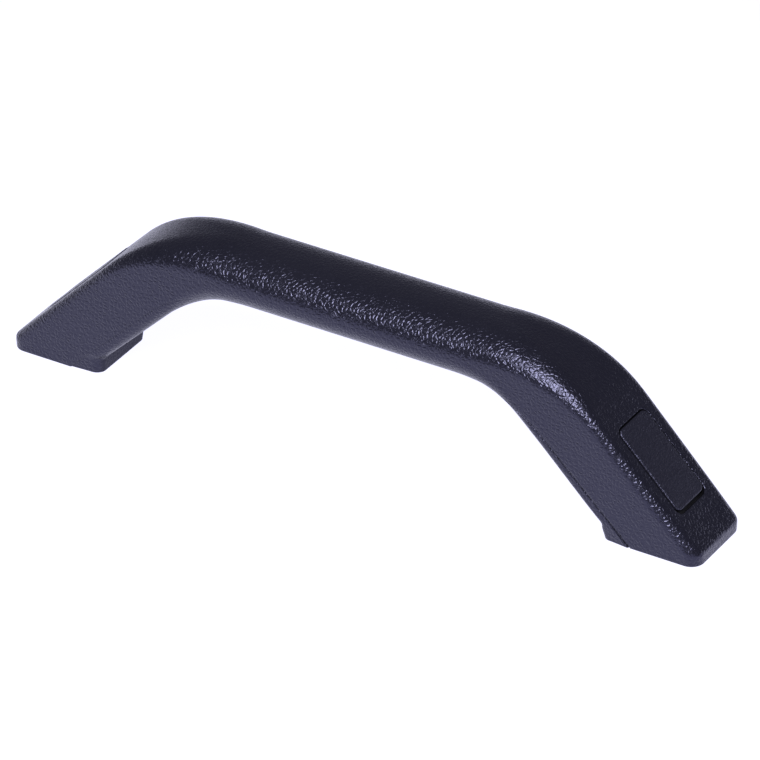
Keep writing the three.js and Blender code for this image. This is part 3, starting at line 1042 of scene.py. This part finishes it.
    def half_rings(self, rows: dict[str, Array], leg: Leg) -> tuple[Array, Array]:
        """Points of each row on the -Y side, from the inner to the outer middle.

        The points stand at chosen lengths round the section: even runs, close
        together at the parting groove, and even again over the cover's patch.
        Each is pushed along the section's own normal by the groove's profile.

        Args:
            rows: Result of side_rows.
            leg: Which leg the rows end in.

        Returns:
            X, Y and Z, rows by half the loop's count plus one, and the painted shade
            at each point, in the parting groove and on the heel's wall.
        """
        moulding = self.mouldings[leg]
        heights, across, length, direction = self.sections(rows, moulding)
        whole = length[:, -1:]
        crossing = self.parting(rows, direction, moulding.parting_offset)[:, None]
        at_line = self.sample(heights, length, crossing)
        marks = np.array(self.groove_columns) * self.parting_half
        flat = self.loop.columns // 2
        free = self.loop.count // 2 - self.inner_columns - (len(marks) - 1) - flat
        first = (at_line + marks[0]) * np.linspace(0, 1, self.inner_columns + 1)[None, :-1]
        groove = at_line + marks[None]
        patch = whole - self.patch_half[1] * (1 - np.linspace(0, 1, flat + 1)[None])
        start = at_line + marks[-1]
        second = start + (patch[:, :1] - start) * run(0, 1, free)[None, :-1]
        target = np.concatenate([first, groove, second, patch], axis=1)
        height = self.sample(length, heights, target)
        side = self.sample(length, across, target)
        after, before = target + self.probe, target - self.probe
        ahead = self.sample(length, heights, after) - self.sample(length, heights, before)
        over = self.sample(length, across, after) - self.sample(length, across, before)
        size = np.maximum(np.hypot(ahead, over), 1e-9)
        push, matte_and_painted_shade = self.relief(rows, target - at_line, ahead / size, moulding)
        height = height + push * over / size
        side = side - push * ahead / size
        side[:, [0, -1]] = 0.0
        x = rows["inner"][:, :1] + direction[:, :1] * height
        z = rows["inner"][:, 1:] + direction[:, 1:] * height
        return np.stack([x, side, z], axis=-1), matte_and_painted_shade

    def relief(self, rows: dict[str, Array], distance: Array, facing: Array,
               moulding: Moulding) -> tuple[Array, Array]:
        """How far the skin stands out at each distance from the parting line.

        A narrow valley exp(-(d/w)^2) with a thin bead beside it, over a step
        between the two halves of the mould; all of it fades along the bar.

        Args:
            rows: Result of side_rows.
            distance: From the parting line, round the section.
            facing: How squarely each point faces sideways, from 0 to 1.
            moulding: The leg's own steps.

        Returns:
            The push along the section's normal, and the painted shade of the skin
            there, with more roughness: in the valley, and on the heel's wall.
        """
        on_leg = smooth_share(rows["along"], *self.parting_fade)[:, None]
        at_heel = smooth_share(rows["heel"], *self.heel_fade)[:, None]
        half = self.parting_half
        valley = np.exp(-((distance / (self.valley_width * half)) ** 2))
        bead = np.exp(-(((distance + self.bead_place * half) / (self.bead_width * half)) ** 2))
        inner = smooth_share(-distance, 0.0, self.step_width)
        beside = self.side_step * (1 - smooth_share(-distance, *self.side_fade))
        taper = moulding.taper * np.clip(-distance / self.taper_length, 0, 1)
        heel = (moulding.step - taper) * np.clip(facing, 0, 1)
        step = blend(beside, heel, at_heel) * inner
        low = blend(self.bar_valley, moulding.parting_depth, on_leg)
        bead_height = self.parting_bead * moulding.parting_depth
        push = on_leg * (bead_height * (1 - at_heel) * bead + step) - low * valley
        # Painted shade: the parting valley's colour is darkened, and its roughness raised, where the groove's
        # shade falls.
        groove_matte_and_shade = np.minimum(2 * moulding.parting_depth, 1.0) * on_leg * valley
        # Painted shade on the heel's inner wall, which faces away from the light.
        on_wall = smooth_share(rows["heel"], 0.02, 0.15)[:, None] * smooth_share(-facing, -0.6, -0.2)
        return push, np.maximum(groove_matte_and_shade, self.heel_matte_and_shade * on_wall * (distance < 0))

    @staticmethod
    def sample(source: Array, values: Array, wanted: Array) -> Array:
        """Straight interpolation in each row of a rising table.

        Args:
            source: Rising values, rows by points.
            values: What is looked up at them.
            wanted: Where, rows by any number.

        Returns:
            The values there.
        """
        inside = np.clip(wanted, source[:, :1], source[:, -1:])
        place = (source[:, None, :] < inside[:, :, None]).sum(axis=-1)
        place = np.clip(place, 1, source.shape[1] - 1)
        low, high = np.take_along_axis(source, place - 1, 1), np.take_along_axis(source, place, 1)
        start, end = np.take_along_axis(values, place - 1, 1), np.take_along_axis(values, place, 1)
        share = (inside - low) / np.maximum(high - low, 1e-9)
        return start + (end - start) * share

    def opening(self, grow: float, out: float) -> Array:
        """The cover's opening, as an outline at a height.

        Args:
            grow: How far it stands outside the opening.
            out: Height out of the face.

        Returns:
            Points of the outline.
        """
        half = (self.half_opening[0] + grow, self.half_opening[1] + grow)
        rim = rounded_rectangle(*self.loop.walk(), half, self.opening_corner + grow)
        return self.face.place(rim[:, 0] + self.opening_shift, rim[:, 1], out)

    def pocket_rings(self) -> list[Array]:
        """Rings from the patch's rim in, down the pocket and out at the base.

        Two even steps over the face, a quarter round at the lip, the lip's wall,
        the hollow for the liner, its floor, the upright shaft and the recess for
        the foot plate.

        Returns:
            Points of each ring on the right leg, after the patch's own rim.
        """
        u, v = self.loop.walk()
        face = self.face
        patch = np.stack([
            u * self.patch_half[0] + self.patch_shift, v * self.patch_half[1]], axis=-1)
        grown = tuple(size + self.lip_round for size in self.half_opening)
        rim = rounded_rectangle(u, v, grown, self.opening_corner)
        rim = rim + np.array([self.opening_shift, 0.0])
        between = blend(patch, rim, 0.5)
        angle = run(0, math.pi / 2, 4)
        lip = self.lip_round * np.stack([1 - np.sin(angle), np.cos(angle) - 1], axis=-1)
        steps = [
            (self.lip_round, 0.0), *lip, (0.0, -self.lip_thickness),
            (self.wall, -self.lip_thickness), (self.wall, -self.pocket_depth),
        ]
        rings = [face.place(between[:, 0], between[:, 1], 0.0)]
        rings += [self.opening(grow, out) for grow, out in steps]
        turn = 2 * math.pi * np.arange(self.loop.count) / self.loop.count
        x = face.origin[0] - self.shaft_radius * np.cos(turn)
        y = -self.shaft_radius * np.sin(turn)
        rings.append(face.place(face.down_at(x, -self.pocket_depth), y, -self.pocket_depth))
        ceiling = self.plate_thickness + CLEARANCE
        rings.append(np.stack([x, y, np.full_like(x, ceiling)], axis=-1))
        low, high = np.array(self.plate_low), np.array(self.plate_high)
        half = tuple((high - low) / 2 + CLEARANCE)
        plate = rounded_rectangle(u, v, half, self.plate_corner + CLEARANCE) + (low + high) / 2
        rings.append(np.column_stack([plate, np.full(len(plate), ceiling)]))
        rings.append(np.column_stack([plate, np.zeros(len(plate))]))
        return rings

    def base_fillets(self, plain: Array, ring: Array) -> Array:
        """Rings that round the base's edge: in by f(1 - cos a), down by f sin a.

        Args:
            plain: The last ring before its grooves, for the normals.
            ring: The last ring.

        Returns:
            The rounding's rings, the last one on the base.
        """
        ahead = np.roll(plain, -1, axis=0) - np.roll(plain, 1, axis=0)
        inward = np.stack([-ahead[:, 1], ahead[:, 0]], axis=-1)
        inward /= np.linalg.norm(inward, axis=1, keepdims=True)
        angle = run(0, math.pi / 2, 4)[:, None]
        shift = self.base_fillet * (1 - np.cos(angle))
        x = ring[None, :, 0] + shift * inward[None, :, 0]
        y = ring[None, :, 1] + shift * inward[None, :, 1]
        z = self.base_fillet * (1 - np.sin(angle)) + 0 * x
        return np.stack([x, y, z], axis=-1)

    @staticmethod
    def whole_rings(half: Array) -> Array:
        """Full rings from their -Y half, which is repeated at +Y."""
        other = half[:, -2:0:-1] * np.array([1, -1, 1])
        return np.concatenate([half, other], axis=1)

    def build(self) -> bpy.types.Object:
        """Lofts both halves, opens the two patches and closes them through the pockets.

        Returns:
            The new piece.
        """
        rows = self.side_rows()
        sides, matte_and_shade_by_leg = [], []
        for leg in Leg:
            half, matte_and_painted_shade = self.half_rings(rows, leg)
            whole = self.whole_rings(half)
            fillets = self.base_fillets(whole[-1][:, :2], whole[-1])
            # Painted shade of each whole ring, in the parting groove and on the heel's wall.
            groove = np.concatenate([matte_and_painted_shade, matte_and_painted_shade[:, -2:0:-1]], axis=1)
            sides.append(np.concatenate([whole, fillets]))
            matte_and_shade_by_leg.append(np.concatenate([groove, np.repeat(groove[-1:], len(fillets), axis=0)]))
        left = sides[1][:0:-1] * np.array([-1, 1, 1])
        rings = np.concatenate([left, sides[0]])
        matte_and_painted_shade = np.concatenate([matte_and_shade_by_leg[1][:0:-1], matte_and_shade_by_leg[0]])
        shell = Shell()
        # Each point's mark: wear on the bar's top, less the painted shade of the groove and the heel's wall.
        index = shell.add(rings, self.rubbed(rings) - matte_and_painted_shade)
        count = self.loop.count
        centre = len(left)
        top_row = centre + int(rows["top_row"])
        first_column = count // 2 - self.loop.columns // 2
        keep = np.ones((len(rings) - 1, count), dtype=bool)
        columns = slice(first_column, first_column + self.loop.columns)
        keep[top_row:top_row + self.loop.rows, columns] = False
        mirror_row = 2 * centre - top_row - self.loop.rows
        keep[mirror_row:mirror_row + self.loop.rows, columns] = False
        wrapped = np.concatenate([index, index[:, :1]], axis=1)
        shell.grid(wrapped, keep, turned=True)
        right = self.loop.rim(top_row, first_column, count)
        row, column = np.divmod(right, count)
        left = (2 * centre - row) * count + column
        pocket = self.pocket_rings()
        for leg, rim, base in ((Leg.RIGHT, right, index[-1]), (Leg.LEFT, left, index[0])):
            flip = np.array([leg.value, 1, 1])
            inside = [shell.add(ring * flip) for ring in pocket]
            shell.join([rim, *inside, base], turned=leg is Leg.LEFT)
        return shell.build("grip")

    def rubbed(self, rings: Array) -> Array:
        """Wear of the skin: hands polish the top of the bar.

        Args:
            rings: The grip's points.

        Returns:
            Wear of each point.
        """
        top = smooth_share(rings[..., 2], self.height - self.rubbed_top, self.height)
        along = 1 - smooth_share(np.abs(rings[..., 0]), *self.rubbed_along)
        return self.rubbed_most * top * along

    def dress(self, piece: bpy.types.Object) -> None:
        """Puts the skin on the handle in place of its plain solid.

        Args:
            piece: The new grip.
        """
        Finish.GRIP.dress(piece)
        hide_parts("grip_skin")
        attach(piece, "handle")


# ---------------------------------------------------------------------- covers
@dataclass
class ScrewCover:
    """Snap-in cover of one leg's screw pocket, with its two tongues."""

    leg: Leg
    face: SlopeFace
    length: float = 37.0
    width: float = 19.5
    thickness: float = 2.5
    proud: float = 0.3
    corner: float = 2.8
    edge: float = 0.6
    foot_edge: float = 0.25
    crown: float = 0.12
    tongue: tuple[float, float, float] = (1.2, 7.0, 3.8)
    tongue_inset: float = 1.5
    tongue_corner: float = 0.2
    tongue_profile: tuple[tuple[float, float], ...] = (
        (-0.25, 0.0), (0.0, 0.0), (0.35, 0.0), (0.62, -0.10), (0.78, 0.0), (0.92, 0.12), (1.0, 0.35))
    loop: Loop = field(default_factory=Loop)

    def build(self) -> bpy.types.Object:
        """Crowned top, rounded rim, straight side and a flat underside.

        Returns:
            The new piece.
        """
        shell = Shell()
        top = self.plate_grid(-self.edge, self.proud, self.crown)
        rows, columns = self.loop.rows, self.loop.columns
        index = shell.add(top)
        shell.grid(index)
        rings = [self.loop.rim(0, 0, columns + 1)]
        turn = run(0, math.pi / 2, 4)
        # The rounded rim's rings carry a mark of 0.5: a painted highlight that lightens the rim's colour.
        for angle in turn:
            grow = -self.edge * (1 - math.sin(angle))
            rings.append(shell.add(self.ring(grow, self.proud - self.edge * (1 - math.cos(angle))), 0.5))
        bottom = self.proud - self.thickness
        for angle in np.concatenate([[0.0], turn[:-1]]):
            grow = -self.foot_edge * (1 - math.cos(angle))
            rings.append(shell.add(self.ring(grow, bottom + self.foot_edge * (1 - math.sin(angle)))))
        floor = shell.add(self.plate_grid(-self.foot_edge, bottom, 0.0))
        shell.join(rings + [floor[0, 0] + self.loop.rim(0, 0, columns + 1)], turned=True)
        shell.grid(floor, turned=True)
        for end in (-1, 1):
            self.add_tongue(shell, end, bottom)
        return shell.build(self.leg.piece("cover"), self.leg)

    def ring(self, grow: float, out: float) -> Array:
        """The plate's outline at a height.

        Args:
            grow: How far it stands outside the plate.
            out: Height out of the face.

        Returns:
            Points of the outline.
        """
        u, v = self.loop.walk()
        half = (self.length / 2 + grow, self.width / 2 + grow)
        rim = rounded_rectangle(u, v, half, self.corner + grow)
        return self.face.place(rim[:, 0], rim[:, 1], out)

    def plate_grid(self, grow: float, out: float, crown: float) -> Array:
        """Grid over the plate: its rim scaled in towards the middle.

        The point at (u, v) is the rim's point in that direction times the
        larger of |u| and |v|; it stands up by the crown times (1-u^2)(1-v^2).

        Args:
            grow: How much larger than the plate the rim is.
            out: Height of the rim out of the face.
            crown: Extra height of the middle.

        Returns:
            Points, rows by columns.
        """
        u, v = np.meshgrid(
            np.linspace(-1, 1, self.loop.rows + 1), np.linspace(-1, 1, self.loop.columns + 1), indexing="ij")
        scale = np.maximum(np.maximum(np.abs(u), np.abs(v)), 1e-9)
        half = (self.length / 2 + grow, self.width / 2 + grow)
        rim = rounded_rectangle(u / scale, v / scale, half, self.corner + grow)
        point = rim * scale[..., None]
        return self.face.place(point[..., 0], point[..., 1], out + crown * (1 - u**2) * (1 - v**2))

    def add_tongue(self, shell: Shell, end: int, bottom: float) -> None:
        """Springy tongue under one end, with a rounded tip and a small barb.

        Args:
            shell: What it is added to.
            end: -1 for the upper end and 1 for the lower.
            bottom: Height of the plate's underside.
        """
        thick, wide, deep = self.tongue
        middle = end * (self.length / 2 - self.tongue_inset)
        u, v = Loop(4, 12).walk()
        rings = []
        for down, narrow in self.tongue_profile:
            half = (thick / 2 - max(narrow, 0), wide / 2 - narrow)
            rim = rounded_rectangle(u, v, half, self.tongue_corner)
            rim = rim + np.array([middle, 0.0])
            rings.append(shell.add(self.face.place(rim[:, 0], rim[:, 1], bottom - down * deep)))
        shell.join(rings, turned=True)
        shell.cap(rings[0])
        shell.cap(rings[-1], turned=True)

    def dress(self, piece: bpy.types.Object) -> None:
        """Puts the cover on its own body.

        Args:
            piece: The new cover.
        """
        Finish.COVER.dress(piece)
        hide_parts(self.leg.piece("screw_cover"))
        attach(piece, self.leg.piece("cover"))


# ------------------------------------------------------------------- fasteners
@dataclass
class Fasteners:
    """What bolts one leg down: screw, two washers and the ring that keeps the screw."""

    leg: Leg
    axis: float
    screw_size: float = 6.0
    pitch: float = 1.0
    minor: float = 2.42
    length: float = 16.0
    tip: float = 0.4
    head: tuple[float, float] = (11.0, 4.0)
    dome: tuple[float, float] = (1.6, 1.4)
    socket: tuple[float, float] = (4.0, 2.3)
    socket_steps: tuple[tuple[float, float], ...] = (
        (0.3, 0.0), (0.12, 0.04), (0.0, 0.2), (0.0, 2.2), (-0.12, 2.3))
    bore: float = 3.3
    washer_edge: float = 0.2
    keeper_edge: float = 0.3
    spring_edge: float = 0.12
    spring_rise: float = 0.2
    split: float = 0.9
    rows_per_turn: int = 12
    sides: int = 48

    @property
    def seat(self) -> float:
        """Height of the head's underside, with the screw raised."""
        return self.tip + self.length

    def screw(self) -> bpy.types.Object:
        """Screw with a helical thread, a domed head and a hexagon socket.

        The shank's radius at a height z and turn a is the minor radius plus the
        thread's depth times a clipped triangle wave of z / pitch - a / 2 pi; the
        thread runs out over one pitch at either end.

        Returns:
            The new piece.
        """
        shell = Shell()
        turn = np.linspace(0, 2 * math.pi, self.sides, endpoint=False)
        major = self.screw_size / 2
        runs = int(self.length / self.pitch)
        height = np.linspace(0, self.length, runs * self.rows_per_turn + 1)[:, None]
        wave = np.abs(2 * np.mod(height / self.pitch - turn / (2 * math.pi), 1.0) - 1)
        crest = np.clip(1.45 * wave - 0.2, 0, 1)
        under_head = smooth_share(height, self.length - 1.8, self.length - 0.8)
        fade = smooth_share(height, 0.2, 1.2) * (1 - under_head)
        core = blend(self.minor - 0.5, self.minor, smooth_share(height, 0.0, 0.5))
        plain = under_head * (major - 0.06 - self.minor)
        radius = core + plain + (major - self.minor) * crest * fade
        x = self.axis + radius * np.cos(turn)
        y = radius * np.sin(turn)
        shank = shell.add(np.stack([x, y, np.broadcast_to(self.tip + height, x.shape)], axis=-1))
        shell.cap(shank[0], turned=True)
        rings = list(shank)
        wide, tall = self.head[0] / 2, self.head[1]
        apex = self.seat + tall
        inset, dome = self.dome
        shoulder = self.seat + tall - dome
        profile = [
            (wide - 0.25, self.seat), (wide - 0.07, self.seat + 0.07), (wide, self.seat + 0.25),
            (wide, shoulder),
        ]
        for angle in run(0, math.pi / 2, 6):
            profile.append((wide - inset * (1 - math.cos(angle)), shoulder + dome * math.sin(angle)))
        rings += list(shell.add(turned_rings(self.axis, profile, self.sides), 0.3))
        flat = self.socket[0] / 2
        hexagon = flat / np.cos(np.mod(turn, math.pi / 3) - math.pi / 6)
        depth = self.socket[1]
        for grow, drop in self.socket_steps:
            radius = hexagon + grow
            level = np.full_like(turn, apex - drop)
            across = [self.axis + radius * np.cos(turn), radius * np.sin(turn), level]
            rings.append(shell.add(np.stack(across, axis=-1)))
        pit = [(1.0, apex - depth - 0.15), (0.25, apex - depth - 0.35)]
        rings += list(shell.add(turned_rings(self.axis, pit, self.sides)))
        shell.join(rings)
        shell.cap(rings[-1])
        return shell.build(self.leg.piece("screw"), self.leg)

    def ring(self, name: str, outer: float, bottom: float, thickness: float, edge: float) -> bpy.types.Object:
        """Turned ring with rounded edges round the screw.

        Args:
            name: Name of the piece, without its leg.
            outer: Outer radius.
            bottom: Height of its lower face.
            thickness: Its height.
            edge: Rounding of its edges.

        Returns:
            The new piece.
        """
        profile = round_corners([
            (self.bore, bottom, edge), (outer, bottom, edge),
            (outer, bottom + thickness, edge), (self.bore, bottom + thickness, edge),
        ])
        shell = Shell()
        rings = shell.add(turned_rings(self.axis, profile, self.sides))
        shell.join(list(rings), closed=True)
        return shell.build(self.leg.piece(name), self.leg)

    def spring(self, outer: float, bottom: float, thickness: float) -> bpy.types.Object:
        """Split washer: a square section carried round, rising a little to its cut end.

        Args:
            outer: Outer radius.
            bottom: Height of its lowest point.
            thickness: Height that it takes up, its rise included.

        Returns:
            The new piece.
        """
        tall, edge = thickness - self.spring_rise, self.spring_edge
        profile = np.array(round_corners([
            (self.bore, 0, edge), (outer, 0, edge), (outer, tall, edge), (self.bore, tall, edge)], 3))
        half_cut = self.split / 2 / outer
        share = np.linspace(0, 1, 73)[:, None]
        turn = math.pi / 2 + half_cut + share * (2 * math.pi - 2 * half_cut)
        x = self.axis + profile[:, 0] * np.cos(turn)
        y = profile[:, 0] * np.sin(turn)
        z = bottom + profile[:, 1] + self.spring_rise * share
        shell = Shell()
        rings = shell.add(np.stack([x, y, z], axis=-1))
        shell.join(list(rings), turned=True)
        shell.cap(rings[0], turned=True)
        shell.cap(rings[-1])
        return shell.build(self.leg.piece("split_washer"), self.leg)

    def space(self, node: str) -> tuple[float, float, float]:
        """Outer radius, bottom and height of one of the leg's packed rings."""
        low, high = node_box(self.leg.piece(node))
        return (high[1] - low[1]) / 2, low[2], high[2] - low[2]

    def dress(self) -> None:
        """Makes the four pieces; the washers stay on the screw and the keeper in the foot."""
        screw = self.leg.piece("screw")
        washer = self.space("flat_washer")
        keeper = self.space("screw_keeper")
        made = (
            (self.screw(), Finish.ZINC, "mounting_screw", screw),
            (self.ring("plain_washer", *washer, self.washer_edge), Finish.ZINC, "flat_washer", screw),
            (self.spring(*self.space("spring_washer")), Finish.ZINC, "spring_washer", screw),
            (self.ring("keeper_ring", *keeper, self.keeper_edge), Finish.NYLON, "screw_keeper", "handle"),
        )
        for piece, finish, node, body in made:
            finish.dress(piece)
            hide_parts(self.leg.piece(node))
            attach(piece, body)


@dataclass(frozen=True)
class RigidCore:
    """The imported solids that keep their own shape, by name."""

    strap: str = "core_strap"
    plate: str = "foot_plate"
    liner: str = "pocket_liner"

    def dress(self) -> None:
        """Gives each solid its finish; all of them ride on the handle already."""
        finishes = {self.strap: Finish.STRAP}
        for leg in Leg:
            finishes[leg.piece(self.plate)] = Finish.STRAP
            finishes[leg.piece(self.liner)] = Finish.LINER
        for name, finish in finishes.items():
            finish.dress(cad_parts[name], wanted=False)
            log.info("%s: packed solid, %s", name, finish.slot)


# ---------------------------------------------------------------------- studio
@dataclass
class Studio:
    """Pale floor, soft light and the camera."""

    azimuth: float = math.radians(31.166)
    elevation: float = math.radians(32.10)
    roll: float = math.radians(-0.13)
    distance: float = 2.634
    aim_side: float = 0.00406
    aim_rise: float = -0.0089
    aim_height: float = 0.035
    sensor: float = 36.0
    lens: float = 334.4
    floor_half: float = 6.0
    floor_colour: Colour = (0.10, 0.10, 0.10)
    floor_tint: Colour = (1.0, 1.0, 1.25)
    floor_glow: float = 0.97
    far_glow: float = 0.3395
    glow_reach: tuple[float, float] = (0.30, 0.65)
    softbox_place: tuple[float, float, float] = (0.28, -0.94, 1.15)
    softbox_target: tuple[float, float, float] = (0, 0, 0.04)
    softbox_size: tuple[float, float] = (0.9, 0.75)
    softbox_power: float = 40.0
    world_colour: Colour = (0.92, 0.92, 1.18)
    world_strength: float = 0.20

    def camera(self) -> None:
        """Camera on a line out of the aim point, by azimuth and elevation."""
        side = Vector((math.cos(self.azimuth), math.sin(self.azimuth), 0))
        out = Vector((
            math.sin(self.azimuth) * math.cos(self.elevation),
            -math.cos(self.azimuth) * math.cos(self.elevation),
            math.sin(self.elevation),
        ))
        rise = out.cross(side)
        data = bpy.data.cameras.new("camera")
        data.sensor_width, data.lens = self.sensor, self.lens
        data.clip_start, data.clip_end = 0.1, 30.0
        camera = bpy.data.objects.new("camera", data)
        aim = Vector((0, 0, self.aim_height)) + side * self.aim_side + rise * self.aim_rise
        turn = Matrix((side, rise, out)).transposed() @ Matrix.Rotation(self.roll, 3, "Z")
        camera.matrix_world = Matrix.Translation(aim + out * self.distance) @ turn.to_4x4()
        bpy.context.scene.collection.objects.link(camera)
        bpy.context.scene.camera = camera

    def floor(self) -> None:
        """Level floor that the feet stand on."""
        span = np.linspace(-self.floor_half, self.floor_half, 9)
        x, y = np.meshgrid(span, span, indexing="ij")
        points = np.stack([x, y, np.zeros_like(x)], axis=-1)
        index = np.arange(x.size).reshape(x.shape)
        corners = [index[:-1, :-1], index[1:, :-1], index[1:, 1:], index[:-1, 1:]]
        faces = np.stack([np.ravel(corner) for corner in corners], axis=-1)
        mesh = bpy.data.meshes.new("floor")
        mesh.from_pydata(points.reshape(-1, 3).tolist(), [], faces.tolist())
        floor = bpy.data.objects.new("floor", mesh)
        bpy.context.scene.collection.objects.link(floor)
        desk = NodeDesk("pale_floor")
        desk.feed(desk.shader.inputs["Base Color"], (*self.floor_colour, 1))
        desk.feed(desk.shader.inputs["Roughness"], 0.9)
        desk.feed(desk.shader.inputs["Specular IOR Level"], 0.1)
        away = desk.node("ShaderNodeVectorMath", {"operation": "LENGTH"})
        desk.feed(away.inputs[0], desk.coordinates((MM, MM, MM)))
        glow = desk.ramp(away.outputs["Value"], *self.glow_reach, self.floor_glow, self.far_glow)
        desk.feed(desk.shader.inputs["Emission Color"], (*self.floor_tint, 1))
        desk.feed(desk.shader.inputs["Emission Strength"], glow)
        mesh.materials.append(desk.material)

    def softbox(self) -> None:
        """Rectangular soft light that looks at the handle."""
        data = bpy.data.lights.new("softbox", "AREA")
        data.shape, data.energy = "RECTANGLE", self.softbox_power
        data.size, data.size_y = self.softbox_size
        lamp = bpy.data.objects.new("softbox", data)
        way = Vector(self.softbox_target) - Vector(self.softbox_place)
        turn = way.to_track_quat("-Z", "Y").to_matrix().to_4x4()
        lamp.matrix_world = Matrix.Translation(self.softbox_place) @ turn
        bpy.context.scene.collection.objects.link(lamp)

    def world(self) -> None:
        """Dim even surroundings."""
        world = bpy.data.worlds.new("studio")
        world.use_nodes = True
        back = world.node_tree.nodes["Background"]
        back.inputs["Color"].default_value = (*self.world_colour, 1)
        back.inputs["Strength"].default_value = self.world_strength
        bpy.context.scene.world = world

    def build(self) -> None:
        """Sets the camera, the floor, the lights and the plain colour view."""
        self.camera()
        self.floor()
        self.softbox()
        self.world()
        bpy.context.scene.view_settings.view_transform = "Standard"


def main() -> None:
    """Builds the sub-assemblies in order, then the studio."""
    logging.basicConfig(level=logging.INFO, format="%(name)s %(message)s")
    grip = GripSkin.from_frame()
    grip.dress(grip.build())
    for leg in Leg:
        cover = ScrewCover(leg, grip.face)
        cover.dress(cover.build())
        Fasteners(leg, grip.face.origin[0]).dress()
    RigidCore().dress()
    Studio().build()


if __name__ == "__main__":
    main()
